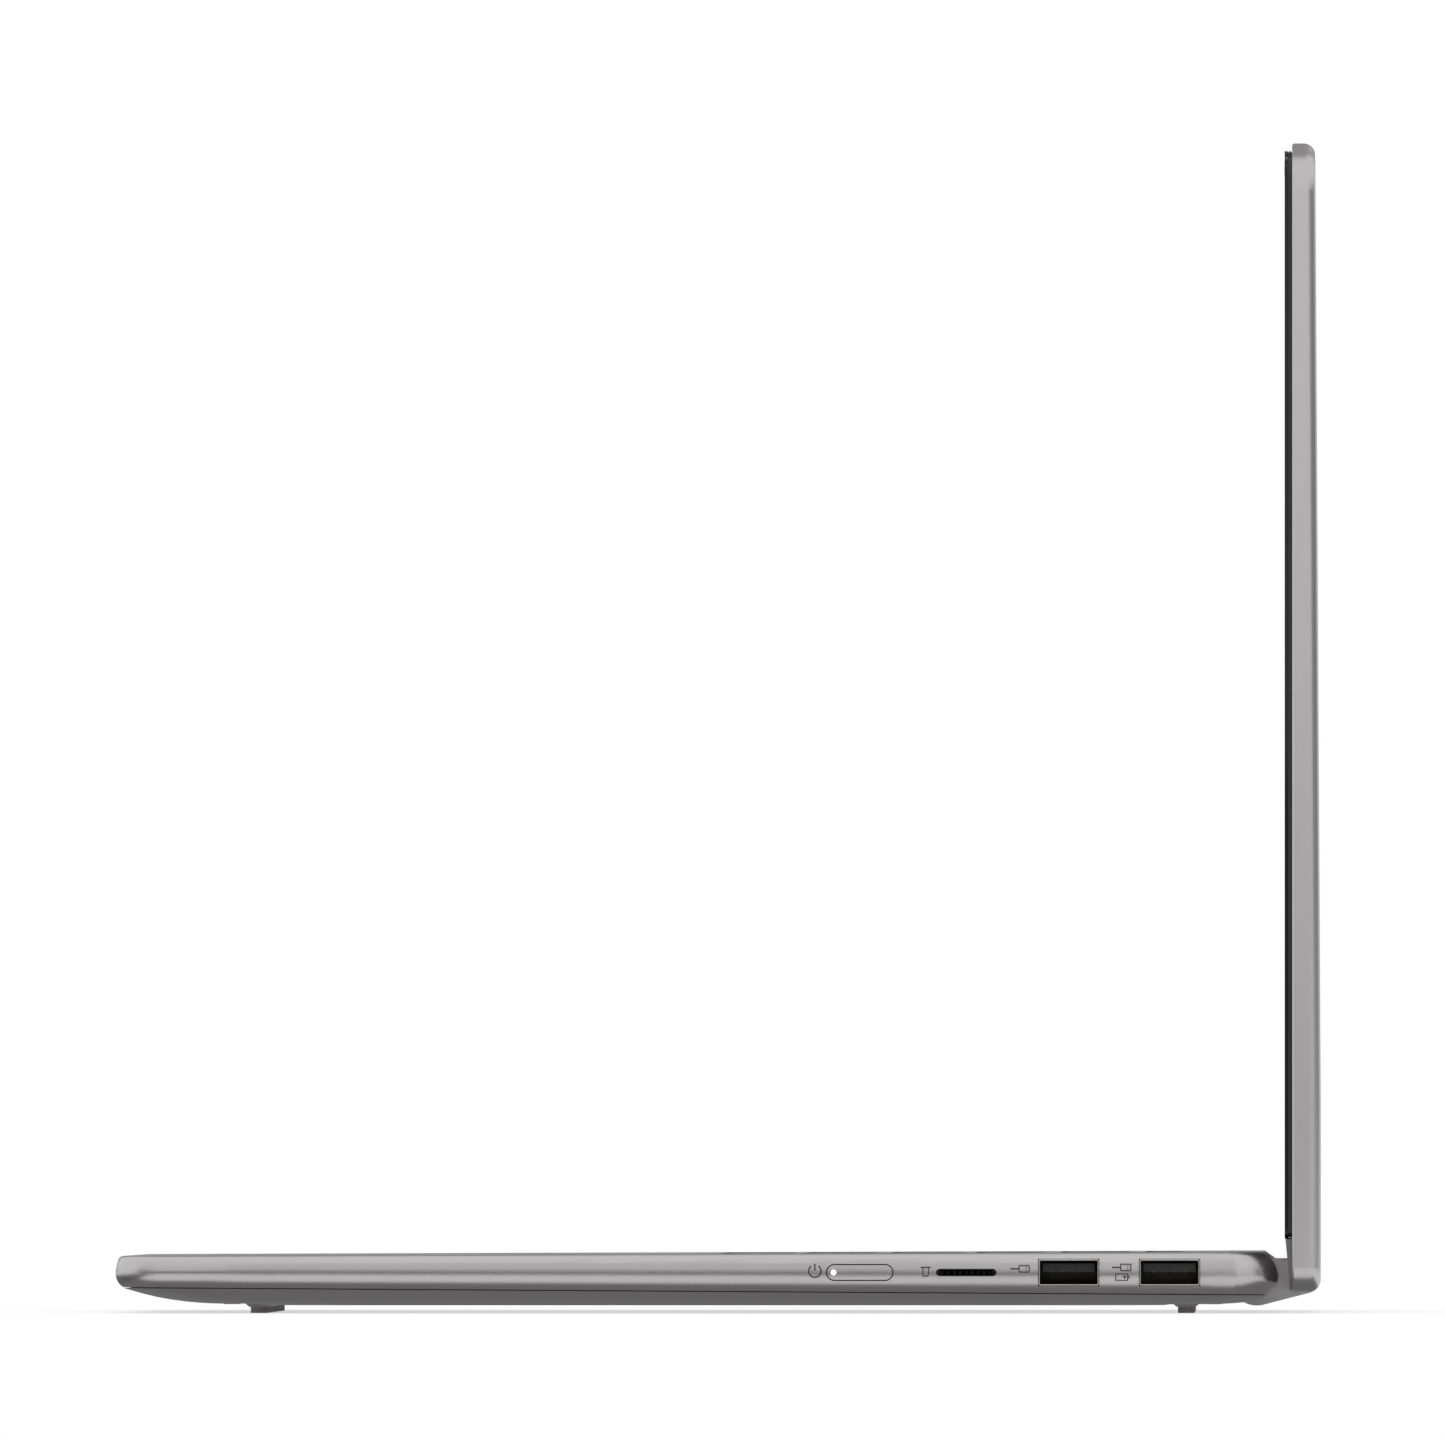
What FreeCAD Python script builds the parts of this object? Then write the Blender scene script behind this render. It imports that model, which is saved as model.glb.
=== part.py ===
import FreeCAD, Part
import math
import operator
import os
from types import SimpleNamespace

import Sketcher
from FreeCAD import Placement, Rotation, Vector

# A convertible laptop with a two-axis hinge, modelled with its lid open at a right angle.
# +X is the user's right, +Y the back, +Z up. The origin is on the table, under the middle.
driving = {
    # base outline; heights are above the table
    "base_width": 360.0,
    "base_depth": 252.8,
    "deck_front": 12.5,
    "deck_rear": 13.33,
    "seam_front": 5.7,
    "seam_rear": 4.1,
    "belly_height": 1.75,
    "corner_round": 9.0,
    "nose_front": 1.65,
    "nose_rear": 3.0,
    "belly_front": 32.0,
    "belly_side": 12.5,
    "belly_rear": 22.0,
    "deck_wall": 1.3,
    "side_wall": 3.2,
    "rear_wall": 5.0,
    "cover_wall": 1.1,
    "seam_gap": 0.2,
    # feet
    "foot_width": 3.6,
    "foot_height": 1.35,
    "foot_side_margin": 48.0,
    "front_foot_inset": 30.6,
    "rear_foot_inset": 19.95,
    "plinth_width": 6.4,
    # hinge
    "hinge_inset": 4.55,
    "hinge_height": 7.45,
    "hinge_margin": 33.0,
    "hinge_width": 44.0,
    "hinge_side_gap": 0.4,
    "barrel_radius": 5.8,
    "barrel_gap": 0.35,
    "eye_radius": 3.1,
    "arm_rise": 4.2,
    "arm_knee": 3.9,
    "base_shaft_radius": 2.2,
    "lid_shaft_radius": 1.2,
    "shaft_clearance": 0.05,
    "notch_wall": 1.4,
    "bracket_length": 14.0,
    "bracket_reach": 11.8,
    "closed_gap": 0.2,
    "folded_gap": 0.25,
    # lid
    "lid_thickness": 6.2,
    "lid_taper": 1.2,
    "lid_round": 9.0,
    "lid_tail": 2.62,
    "lid_tail_round": 5.0,
    "lid_top_margin": 2.6,
    "lid_edge_round": 2.5,
    "bump_height": 3.2,
    "bump_width": 104.0,
    "bump_slope": 6.0,
    "glass_thickness": 0.7,
    "frame_thickness": 0.95,
    "glass_margin": 1.65,
    "glass_low": 16.3,
    "panel_thickness": 2.4,
    "panel_margin": 3.4,
    "panel_low": 8.5,
    "lid_cavity": 3.9,
    "lid_bracket_reach": 24.0,
    "display_board_width": 34.0,
    "chin_tip": 0.45,
    # sockets on the right side, measured from the base's rear end to their middles
    "port_height": 8.9,
    "port_clearance": 0.12,
    "button_from_rear": 90.84,
    "card_from_rear": 67.7,
    "usb_front_from_rear": 45.43,
    "usb_rear_from_rear": 23.5,
    "usb_width": 13.1,
    "usb_rise": 5.7,
    "usb_length": 14.0,
    "usb_wall": 0.35,
    "card_width": 13.15,
    "card_rise": 1.6,
    "card_length": 16.0,
    "button_width": 14.2,
    "button_rise": 3.2,
    "button_gap": 0.25,
    "button_travel": 0.4,
    "lamp_radius": 0.6,
    # sockets on the left side
    "hdmi_from_rear": 40.0,
    "usb_c_front_from_rear": 78.0,
    "usb_c_rear_from_rear": 60.0,
    "jack_from_rear": 96.0,
    "jack_radius": 1.8,
    # keyboard
    "keyboard_margin": 37.5,
    "keyboard_rear_margin": 18.7,
    "row_pitch": 18.6,
    "function_pitch": 11.4,
    "key_space": 3.0,
    "key_window_gap": 0.35,
    "key_height": 1.9,
    "key_taper": 0.4,
    "key_round": 1.5,
    "key_sink": 0.1,
    "key_travel": 1.4,
    "plate_thickness": 0.5,
    # touchpad
    "touchpad_width": 135.0,
    "touchpad_front_margin": 18.0,
    "touchpad_key_gap": 22.0,
    "touchpad_gap": 0.35,
    "touchpad_thickness": 1.5,
    "click_room": 0.85,
    "bracket_sheet": 0.8,
    # speakers and grilles
    "speaker_width": 13.0,
    "grille_slot": 1.0,
    "grille_pitch": 2.6,
    # boards and what stands on them
    "board_height": 5.04,
    "board_thickness": 1.0,
    "processor_rise": 1.15,
    "spreader_rise": 1.0,
    "ssd_length": 80.0,
    "ssd_width": 22.0,
    "ssd_rise": 2.2,
    "card_margin": 12.5,
    "wifi_length": 30.0,
    "wifi_width": 22.0,
    "wifi_rise": 1.8,
    "wifi_margin": 28.5,
    # cooling
    "fan_offset": 54.0,
    "fan_width": 52.0,
    "fan_depth": 54.0,
    "fan_wall": 0.7,
    "fan_gap": 0.35,
    "rotor_radius": 22.5,
    "hub_radius": 8.0,
    "pin_radius": 1.0,
    "fin_depth": 9.0,
    "pipe_hinge_gap": 7.4,
    # battery
    "battery_front_inset": 30.0,
    "battery_key_gap": 16.0,
    "battery_width": 280.0,
    "battery_rise": 4.8,
    "battery_wall": 0.8,
    # screws
    "screw_radius": 0.8,
    "screw_head_radius": 2.0,
    "screw_head_rise": 0.55,
    "screw_side_front": 30.0,
    "screw_side_middle": 12.0,
    "screw_side_rear": 20.0,
    "screw_front_inset": 25.0,
    "screw_rear_inset": 14.0,
    "boss_radius": 2.6,
    # camera
    "camera_width": 56.0,
    "lens_radius": 1.6,
    "shutter_width": 7.0,
    "shutter_travel": 6.0,
    "shutter_gap": 0.2,
    # common small clearance between neighbouring inner pieces
    "inner_gap": 0.3,
}

doc = FreeCAD.newDocument("Laptop")
sizes_sheet = doc.addObject("Spreadsheet::Sheet", "Sizes")
layout_sheet = doc.addObject("Spreadsheet::Sheet", "Layout")
signs = {"+": operator.add, "-": operator.sub, "*": operator.mul, "/": operator.truediv}


class Size:
    """A length, with the sheet expression that gives it."""

    def __init__(self, text, value):
        self.text = text
        self.value = value

    def __add__(self, other):
        return combine(self, "+", other)

    def __radd__(self, other):
        return combine(other, "+", self)

    def __sub__(self, other):
        return combine(self, "-", other)

    def __rsub__(self, other):
        return combine(other, "-", self)

    def __mul__(self, other):
        return combine(self, "*", other)

    def __rmul__(self, other):
        return combine(other, "*", self)

    def __truediv__(self, other):
        return combine(self, "/", other)

    def __neg__(self):
        return combine(0, "-", self)


def as_size(amount):
    if isinstance(amount, Size):
        return amount
    return Size(repr(float(amount)), float(amount))


def combine(first, sign, second):
    first, second = as_size(first), as_size(second)
    return Size(f"({first.text} {sign} {second.text})", signs[sign](first.value, second.value))


def store(sheet, row, alias, content):
    sheet.set(f"A{row}", alias)
    sheet.set(f"B{row}", content)
    sheet.setAlias(f"B{row}", alias)


S = SimpleNamespace()
L = SimpleNamespace()
for row_number, (size_name, size_value) in enumerate(driving.items(), 1):
    store(sizes_sheet, row_number, size_name, str(size_value))
    setattr(S, size_name, Size(f"Sizes.{size_name}", size_value))


def derive(alias, size):
    """Keep a size that follows from others as a formula in the layout sheet."""
    store(layout_sheet, len(vars(L)) + 1, alias, "=" + size.text.replace("Layout.", ""))
    setattr(L, alias, Size(f"Layout.{alias}", size.value))


# Where things lie. The hinge throw is half of what has to fold flat, so that the lid lies on the
# deck when shut and under the feet when folded right round.
derive("half_width", S.base_width / 2)
derive("lid_stack", S.lid_thickness + S.glass_thickness + S.frame_thickness)
derive("throw", (S.deck_rear + L.lid_stack + S.closed_gap + S.folded_gap) / 2)
derive("overall_depth",
       S.base_depth - S.hinge_inset - S.hinge_height + S.deck_rear + S.closed_gap + L.lid_stack)
derive("front", -L.overall_depth / 2)
derive("rear", L.front + S.base_depth)
derive("deck_slope", (S.deck_rear - S.deck_front) / S.base_depth)
derive("seam_slope", (S.seam_rear - S.seam_front) / S.base_depth)
derive("hinge_y", L.rear - S.hinge_inset)
derive("lid_axis_y", L.hinge_y + L.throw)
derive("lid_back", L.front + L.overall_depth)
derive("glass_front", L.lid_back - L.lid_stack)
derive("lid_front", L.lid_back - S.lid_thickness)
derive("lid_low", S.hinge_height - S.lid_tail)
derive("lid_high", S.hinge_height + L.hinge_y - L.front - S.lid_top_margin)
derive("hinge_out", L.half_width - S.hinge_margin)
derive("hinge_in", L.hinge_out - S.hinge_width)
derive("notch_front", L.hinge_y - S.barrel_radius - S.barrel_gap)
derive("notch_top", S.hinge_height + S.arm_rise + S.hinge_side_gap)
derive("floor", S.belly_height + S.cover_wall)
derive("cavity_half", L.half_width - S.side_wall)
derive("cavity_rear", L.rear - S.rear_wall)
derive("key_pitch", (S.base_width - 2 * S.keyboard_margin) / 15)
derive("keys_half", L.half_width - S.keyboard_margin)
derive("keys_rear", L.rear - S.keyboard_rear_margin)
derive("keys_front", L.keys_rear - S.function_pitch - 5 * S.row_pitch)
derive("deck_at_keys", S.deck_front + (L.keys_front - L.front) * L.deck_slope)
derive("plate_top", L.deck_at_keys - S.key_sink - S.key_height - S.key_travel - S.inner_gap)
derive("plate_bottom", L.plate_top - S.plate_thickness)
derive("pad_front", L.front + S.touchpad_front_margin)
derive("pad_rear", L.keys_front - S.touchpad_key_gap)
derive("pad_half", S.touchpad_width / 2)
derive("board_top", S.board_height + S.board_thickness)
derive("speaker_in", L.keys_half + 3 * S.inner_gap + 2)
derive("speaker_out", L.speaker_in + S.speaker_width)
derive("cooler_top", L.plate_bottom - S.inner_gap)
derive("fan_low", L.floor + S.inner_gap)
derive("fan_rear", L.keys_rear)
derive("fan_front", L.fan_rear - S.fan_depth)
derive("fan_in", S.fan_offset - S.fan_width / 2)
derive("fan_out", S.fan_offset + S.fan_width / 2)

far = 400.0
edges_along = {"x": (9, 10, 11, 12), "y": (2, 4, 6, 8), "z": (1, 3, 5, 7)}
nodes = {}


def deck_at(y):
    return S.deck_front + (y - L.front) * L.deck_slope


def seam_at(y):
    return S.seam_front + (y - L.front) * L.seam_slope


def bind(thing, path, amount):
    thing.setExpression(path, as_size(amount).text)


def node(name, thing):
    thing.Label = name
    nodes[name] = thing
    return thing


# General shapes

def block(name, x, y, z, sloped=False):
    """A box between its low and high limits along each axis; a sloped one lies along the deck."""
    box = doc.addObject("Part::Box", name)
    if sloped:
        box.Placement = Placement(Vector(), Rotation(Vector(1, 0, 0), 1))
        bind(box, "Placement.Rotation.Angle", Size(f"atan({L.deck_slope.text})", 0))
    for extent, axis, (low, high) in (("Length", "x", x), ("Width", "y", y), ("Height", "z", z)):
        bind(box, extent, high - low)
        bind(box, f"Placement.Base.{axis}", low)
    return box


def rod(name, axis, centre, radius, low, high):
    """A cylinder along an axis; centre gives the other two coordinates in X, Y, Z order."""
    turns = {"x": Rotation(Vector(0, 1, 0), 90), "y": Rotation(Vector(1, 0, 0), -90), "z": Rotation()}
    cylinder = doc.addObject("Part::Cylinder", name)
    cylinder.Placement = Placement(Vector(), turns[axis])
    bind(cylinder, "Radius", radius)
    bind(cylinder, "Height", high - low)
    bind(cylinder, f"Placement.Base.{axis}", low)
    for other, amount in zip([a for a in "xyz" if a != axis], centre):
        bind(cylinder, f"Placement.Base.{other}", amount)
    return cylinder


def dress(kind, name, thing, edges, amount):
    """Round or bevel the numbered edges of a piece."""
    feature = doc.addObject(kind, name)
    feature.Base = thing
    amount = as_size(amount).value
    feature.Edges = [(edge, amount, amount) for edge in edges]
    return feature


def rounded(name, box, axis, radius):
    """A box with its four edges along one axis rounded."""
    return dress("Part::Fillet", name, box, edges_along[axis], radius)


def rim_edges(thing, direction):
    """The outer edges of the flat faces that look one way, leaving out edges between them."""
    doc.recompute()
    shape = thing.Shape
    faces = [f for f in shape.Faces if f.normalAt(0, 0).dot(direction) > 0.99]
    borders = [edge for face in faces for edge in face.Edges]
    return [i for i, edge in enumerate(shape.Edges, 1)
            if sum(edge.isSame(border) for border in borders) == 1]


def edges_at(thing, direction, spots):
    """The straight edges along a direction that pass through given points of the middle plane."""
    doc.recompute()
    found = []
    for i, edge in enumerate(thing.Shape.Edges, 1):
        middle = edge.CenterOfMass
        if edge.Curve.TypeId == "Part::GeomLine" and abs(edge.Curve.Direction.dot(direction)) > 0.99:
            if any(math.hypot(middle.x - x, middle.z - z) < 0.1 for x, z in spots):
                found.append(i)
    return found


def group(name, parts):
    compound = doc.addObject("Part::Compound", name)
    compound.Links = parts
    return compound


def fuse(name, parts):
    union = doc.addObject("Part::MultiFuse", name)
    union.Shapes = parts
    union.Refine = True
    return union


def cut(name, thing, tools):
    """Take away tools that don't overlap each other."""
    result = doc.addObject("Part::Cut", name)
    result.Base = thing
    result.Tool = tools[0] if len(tools) == 1 else group(name + "_tools", tools)
    result.Refine = True
    return result


def mirrored(name, thing):
    """The same piece on the other side of the middle plane."""
    mirror = doc.addObject("Part::Mirroring", name)
    mirror.Source = thing
    mirror.Normal = Vector(1, 0, 0)
    return mirror


def both_sides(name, thing):
    return group(name, [thing, mirrored(name + "_mirror", thing)])


# Sketches and features

def new_sketch(body, name, role, offset=0.0, slope=None):
    """A sketch on an origin plane, moved along its normal and tipped by a slope."""
    sketch = body.newObject("Sketcher::SketchObject", name)
    plane = next(f for f in body.Origin.OriginFeatures if f.Role == role)
    sketch.AttachmentSupport = [(plane, "")]
    sketch.MapMode = "FlatFace"
    if slope is not None:
        sketch.AttachmentOffset = Placement(Vector(), Rotation(Vector(1, 0, 0), 1))
        bind(sketch, "AttachmentOffset.Rotation.Angle", Size(f"atan({slope.text})", 0))
    bind(sketch, "AttachmentOffset.Base.z", offset)
    return sketch


def hold(sketch, kind, geometry, point, amount):
    """Set a point's distance from the sketch origin along X or Y, on the side it lies."""
    amount = as_size(amount)
    if amount.value < 0:
        constraint = Sketcher.Constraint(kind, geometry, point, -1, 1, -amount.value)
        text = (-amount).text
    else:
        constraint = Sketcher.Constraint(kind, -1, 1, geometry, point, amount.value)
        text = amount.text
    index = sketch.addConstraint(constraint)
    sketch.setExpression(f"Constraints[{index}]", text)


def set_radius(sketch, geometry, radius):
    radius = as_size(radius)
    index = sketch.addConstraint(Sketcher.Constraint("Radius", geometry, radius.value))
    sketch.setExpression(f"Constraints[{index}]", radius.text)


def polygon(sketch, points):
    """A closed outline of straight lines, each corner held from the sketch origin."""
    corners = [Vector(as_size(u).value, as_size(v).value, 0) for u, v in points]
    count = len(corners)
    sketch.addGeometry([Part.LineSegment(corners[i], corners[(i + 1) % count]) for i in range(count)])
    for i, (u, v) in enumerate(points):
        sketch.addConstraint(Sketcher.Constraint("Coincident", i, 2, (i + 1) % count, 1))
        hold(sketch, "DistanceX", i, 1, u)
        hold(sketch, "DistanceY", i, 1, v)


def rounded_outline(sketch, half, low, high, low_round, high_round):
    """A rectangle about the sketch's Y axis, with one radius for each end's corners."""
    wide, bottom, top = as_size(half).value, as_size(low).value, as_size(high).value
    first, second = as_size(low_round).value, as_size(high_round).value

    def line(start, end):
        return Part.LineSegment(Vector(*start, 0), Vector(*end, 0))

    def arc(x, y, radius, start):
        circle = Part.Circle(Vector(x, y, 0), Vector(0, 0, 1), radius)
        return Part.ArcOfCircle(circle, math.radians(start), math.radians(start + 90))

    sketch.addGeometry([
        line((first - wide, bottom), (wide - first, bottom)),
        arc(wide - first, bottom + first, first, -90),
        line((wide, bottom + first), (wide, top - second)),
        arc(wide - second, top - second, second, 0),
        line((wide - second, top), (second - wide, top)),
        arc(second - wide, top - second, second, 90),
        line((-wide, top - second), (-wide, bottom + first)),
        arc(first - wide, bottom + first, first, 180),
    ])
    for i in range(8):
        sketch.addConstraint(Sketcher.Constraint("Tangent", i, 2, (i + 1) % 8, 1))
    for i, kind in ((0, "Horizontal"), (4, "Horizontal"), (2, "Vertical"), (6, "Vertical")):
        sketch.addConstraint(Sketcher.Constraint(kind, i))
    sketch.addConstraint(Sketcher.Constraint("Equal", 1, 7))
    sketch.addConstraint(Sketcher.Constraint("Equal", 3, 5))
    set_radius(sketch, 1, low_round)
    set_radius(sketch, 3, high_round)
    hold(sketch, "DistanceX", 2, 1, half)
    hold(sketch, "DistanceX", 6, 1, -as_size(half))
    hold(sketch, "DistanceY", 0, 1, low)
    hold(sketch, "DistanceY", 4, 1, high)


def pad(body, name, sketch, length, backwards=False):
    feature = body.newObject("PartDesign::Pad", name)
    feature.Profile = sketch
    bind(feature, "Length", length)
    feature.Reversed = backwards
    return feature


def loft(body, name, sections):
    feature = body.newObject("PartDesign::AdditiveLoft", name)
    feature.Profile = sections[0]
    feature.Sections = sections[1:]
    feature.Ruled = False
    return feature


def prism(name, points, low, high):
    """A side outline in Y and Z, carried along X from low to high."""
    body = doc.addObject("PartDesign::Body", name)
    sketch = new_sketch(body, name + "_outline", "YZ_Plane", low)
    polygon(sketch, points)
    pad(body, name + "_pad", sketch, high - low)
    return body


def obround(name, y, z, x):
    """A box along X whose ends in Y are half round."""
    box = block(name + "_box", x, y, z)
    return rounded(name, box, "x", (z[1] - z[0]) / 2 * 0.999)


# Base shells: level outlines, lofted. Each row gives a level and the share of the nose or of the
# belly by which the outline is drawn in there.
case_levels = [
    # level, front and sides, rear
    (0.00, 1.00, 0.85),
    (0.13, 0.42, 0.49),
    (0.25, 0.16, 0.14),
    (0.48, 0.00, 0.00),
    (0.72, 0.19, 0.22),
    (0.88, 0.35, 0.52),
    (1.00, 0.97, 1.00),
]
belly_levels = [
    # level, front, sides, rear
    (0.00, 0.005, 0.010, 0.005),
    (0.20, 0.085, 0.100, 0.030),
    (0.45, 0.195, 0.245, 0.090),
    (0.70, 0.350, 0.420, 0.215),
    (0.88, 0.560, 0.630, 0.475),
    (1.00, 1.000, 1.000, 1.000),
]


def case_shell():
    """The top case's outer form, from the seam up to the sloping deck."""
    body = doc.addObject("PartDesign::Body", "case_form")
    sections = []
    for i, (level, edge, back) in enumerate(case_levels):
        height = seam_at(0) + level * (deck_at(0) - seam_at(0))
        slope = L.seam_slope + level * (L.deck_slope - L.seam_slope)
        sketch = new_sketch(body, f"case_level_{i}", "XY_Plane", height, slope)
        inset = S.nose_front * edge
        radius = S.corner_round - inset
        rounded_outline(sketch, L.half_width - inset, L.front + inset, L.rear - S.nose_rear * back,
                        radius, radius)
        sections.append(sketch)
    loft(body, "case_loft", sections)
    return body


def cover_form(name, lift):
    """The bottom cover's belly, from the seam down to the flat, lifted by a height."""
    body = doc.addObject("PartDesign::Body", name)
    sections = []
    for i, (level, front, side, back) in enumerate(belly_levels):
        top = seam_at(0) - S.seam_gap
        height = top + level * (S.belly_height - top) + lift
        slope = L.seam_slope * (1 - level)
        sketch = new_sketch(body, f"{name}_level_{i}", "XY_Plane", height, slope)
        radius = S.corner_round - S.nose_front + S.belly_side * side
        rounded_outline(sketch, L.half_width - S.nose_front - S.belly_side * side,
                        L.front + S.nose_front + S.belly_front * front,
                        L.rear - S.nose_rear * case_levels[0][2] - S.belly_rear * back,
                        radius, radius)
        sections.append(sketch)
    loft(body, name + "_loft", sections)
    return body


def span(centre, width):
    return centre - width / 2, centre + width / 2


def widen(limits, amount):
    return limits[0] - amount, limits[1] + amount


def hinge_notch(name, grow):
    """The room that a hinge takes out of the base's rear edge, with a wall's thickness added."""
    box = block(name, widen((L.hinge_in, L.hinge_out), grow), (L.notch_front - grow, far), (-far, far))
    return both_sides(name + "_pair", box)


def from_rear(distance):
    return L.rear - distance


# Screws through the bottom cover, into bosses of the top case
def cover_screw_spots():
    spots = [(0, L.keys_front - S.battery_key_gap / 2)]
    for side in (-1, 1):
        spots.append((side * (L.half_width - S.screw_side_front), L.front + S.screw_front_inset))
        spots.append((side * (L.half_width - S.screw_side_middle), L.pad_rear))
        spots.append((side * (L.half_width - S.screw_side_rear), L.rear - S.screw_rear_inset))
    return spots


def screw(name, spot, seat, head_rise, tip):
    """A screw whose head lies under its seat and whose shank reaches up to its tip."""
    head = rod(name + "_head", "z", spot, S.screw_head_radius, seat - head_rise, seat)
    shank = rod(name + "_shank", "z", spot, S.screw_radius, seat - head_rise / 2, tip)
    return fuse(name, [head, shank])


def screw_hole(name, spot, low, high):
    return rod(name, "z", spot, S.screw_radius + S.shaft_clearance, low, high)


derive("screw_seat", S.belly_height + S.screw_head_rise + S.seam_gap)
derive("boss_low", L.floor + S.screw_head_rise + S.inner_gap)
derive("screw_tip", L.boss_low + 3)


def bottom_screws():
    spots = cover_screw_spots()
    screws = [screw(f"cover_screw_{i}", spot, L.screw_seat, S.screw_head_rise, L.screw_tip)
              for i, spot in enumerate(spots)]
    node("bottom_screws", group("bottom_screws", screws))


# Hinge
derive("knuckle_radius", S.base_shaft_radius + 0.8)
derive("bracket_out", L.hinge_in - S.notch_wall - S.hinge_side_gap / 2)
derive("bracket_in", L.bracket_out - S.bracket_length)
derive("arm_low", S.hinge_height + 0.9)
derive("arm_high", S.hinge_height + L.knuckle_radius)
derive("lid_knuckle_radius", S.lid_shaft_radius + 0.7)
shaft_fit = 0.02


def bracket_spots():
    """Where a base hinge bracket is screwed to the top case."""
    middle, y = (L.bracket_in + L.bracket_out) / 2, L.hinge_y - S.bracket_reach + 4
    return [(middle - S.bracket_length / 4, y), (middle + S.bracket_length / 4, y)]


def link_outline(sketch):
    """Barrel round the base shaft, eye round the lid shaft, a tangent below and an arm above."""
    axis_y, lid_y, height = L.hinge_y.value, L.lid_axis_y.value, S.hinge_height.value
    barrel, eye, throw = S.barrel_radius.value, S.eye_radius.value, L.throw.value
    rise, knee = S.arm_rise.value, S.arm_knee.value
    low = math.asin((barrel - eye) / throw) - math.pi / 2
    arm = math.asin(rise / barrel)
    far_off = math.hypot(knee, rise)
    top = math.atan2(rise, -knee) - math.acos(eye / far_off)

    def around(y, radius, angle):
        return Vector(y + radius * math.cos(angle), height + radius * math.sin(angle), 0)

    def arc(y, radius, start, end):
        circle = Part.Circle(Vector(y, height, 0), Vector(0, 0, 1), radius)
        return Part.ArcOfCircle(circle, start, end)

    corner = Vector(lid_y - knee, height + rise, 0)
    sketch.addGeometry([
        arc(axis_y, barrel, arm, low + 2 * math.pi),
        Part.LineSegment(around(axis_y, barrel, low), around(lid_y, eye, low)),
        arc(lid_y, eye, low, top),
        Part.LineSegment(around(lid_y, eye, top), corner),
        Part.LineSegment(corner, around(axis_y, barrel, arm)),
    ])
    for first, second in ((0, 1), (1, 2), (2, 3)):
        sketch.addConstraint(Sketcher.Constraint("Tangent", first, 2, second, 1))
    for first, second in ((3, 4), (4, 0)):
        sketch.addConstraint(Sketcher.Constraint("Coincident", first, 2, second, 1))
    sketch.addConstraint(Sketcher.Constraint("Horizontal", 4))
    set_radius(sketch, 0, S.barrel_radius)
    set_radius(sketch, 2, S.eye_radius)
    for geometry, point, y, z in ((0, 3, L.hinge_y, S.hinge_height), (2, 3, L.lid_axis_y, S.hinge_height),
                                  (4, 1, L.lid_axis_y - S.arm_knee, S.hinge_height + S.arm_rise)):
        hold(sketch, "DistanceX", geometry, point, y)
        hold(sketch, "DistanceY", geometry, point, z)


def hinge_links():
    body = doc.addObject("PartDesign::Body", "link_form")
    low, high = L.hinge_in + S.hinge_side_gap, L.hinge_out - S.hinge_side_gap
    sketch = new_sketch(body, "link_sketch", "YZ_Plane", low)
    link_outline(sketch)
    pad(body, "link_pad", sketch, high - low)
    bores = [
        rod("link_base_bore", "x", (L.hinge_y, S.hinge_height),
            S.base_shaft_radius + S.shaft_clearance, low - 1, high - 2),
        rod("link_lid_bore", "x", (L.lid_axis_y, S.hinge_height),
            S.lid_shaft_radius + S.shaft_clearance, low - 1, high - 2),
    ]
    right = node("hinge_link_right", cut("hinge_link_right", body, bores))
    node("hinge_link_left", mirrored("hinge_link_left", right))


def base_hinge():
    axis = (L.hinge_y, S.hinge_height)
    knuckle = rod("knuckle", "x", axis, L.knuckle_radius, L.bracket_in, L.bracket_out)
    arm = block("bracket_arm", (L.bracket_in, L.bracket_out), (L.hinge_y - S.bracket_reach, L.hinge_y),
                (L.arm_low, L.arm_high))
    bore = rod("knuckle_bore", "x", axis, S.base_shaft_radius + shaft_fit, L.bracket_in - 1, far)
    holes = [screw_hole(f"bracket_hole_{i}", spot, L.arm_low - 1, L.arm_high + 1)
             for i, spot in enumerate(bracket_spots())]
    bracket = cut("bracket", fuse("bracket_form", [knuckle, arm]), [bore] + holes)
    node("base_hinge_brackets", both_sides("base_hinge_brackets", bracket))
    shaft = rod("base_shaft", "x", axis, S.base_shaft_radius, L.bracket_in, L.hinge_out - 4)
    node("base_hinge_shafts", both_sides("base_hinge_shafts", shaft))


def base_hinge_room():
    """Pockets in the top case for the hinge knuckles, and holes for the shafts."""
    axis = (L.hinge_y, S.hinge_height)
    room = L.knuckle_radius + S.hinge_side_gap / 2
    ends = (L.bracket_in - S.inner_gap, L.hinge_in - S.notch_wall)
    bore = rod("knuckle_room", "x", axis, room, *ends)
    way_in = block("knuckle_way", ends, (L.cavity_rear - 1, L.hinge_y), span(S.hinge_height, 2 * room))
    hole = rod("shaft_hole", "x", axis, S.base_shaft_radius + 3 * S.shaft_clearance, ends[0],
               L.hinge_in + 1)
    return both_sides("hinge_room", fuse("hinge_room_form", [bore, way_in, hole]))


# Keyboard: each row's keys from left to right, in key widths
key_rows = [
    ("keys_space_row", (1.25, 1, 1, 1.25, 5.5, 1, 1)),
    ("keys_lower_row", (2.25,) + (1,) * 10 + (2.75,)),
    ("keys_home_row", (1.75,) + (1,) * 11 + (2.25,)),
    ("keys_upper_row", (1.5,) + (1,) * 12 + (1.5,)),
    ("keys_number_row", (1,) * 13 + (2,)),
    ("keys_function_row", (15 / 16,) * 16),
]
arrow_start = 12


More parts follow.
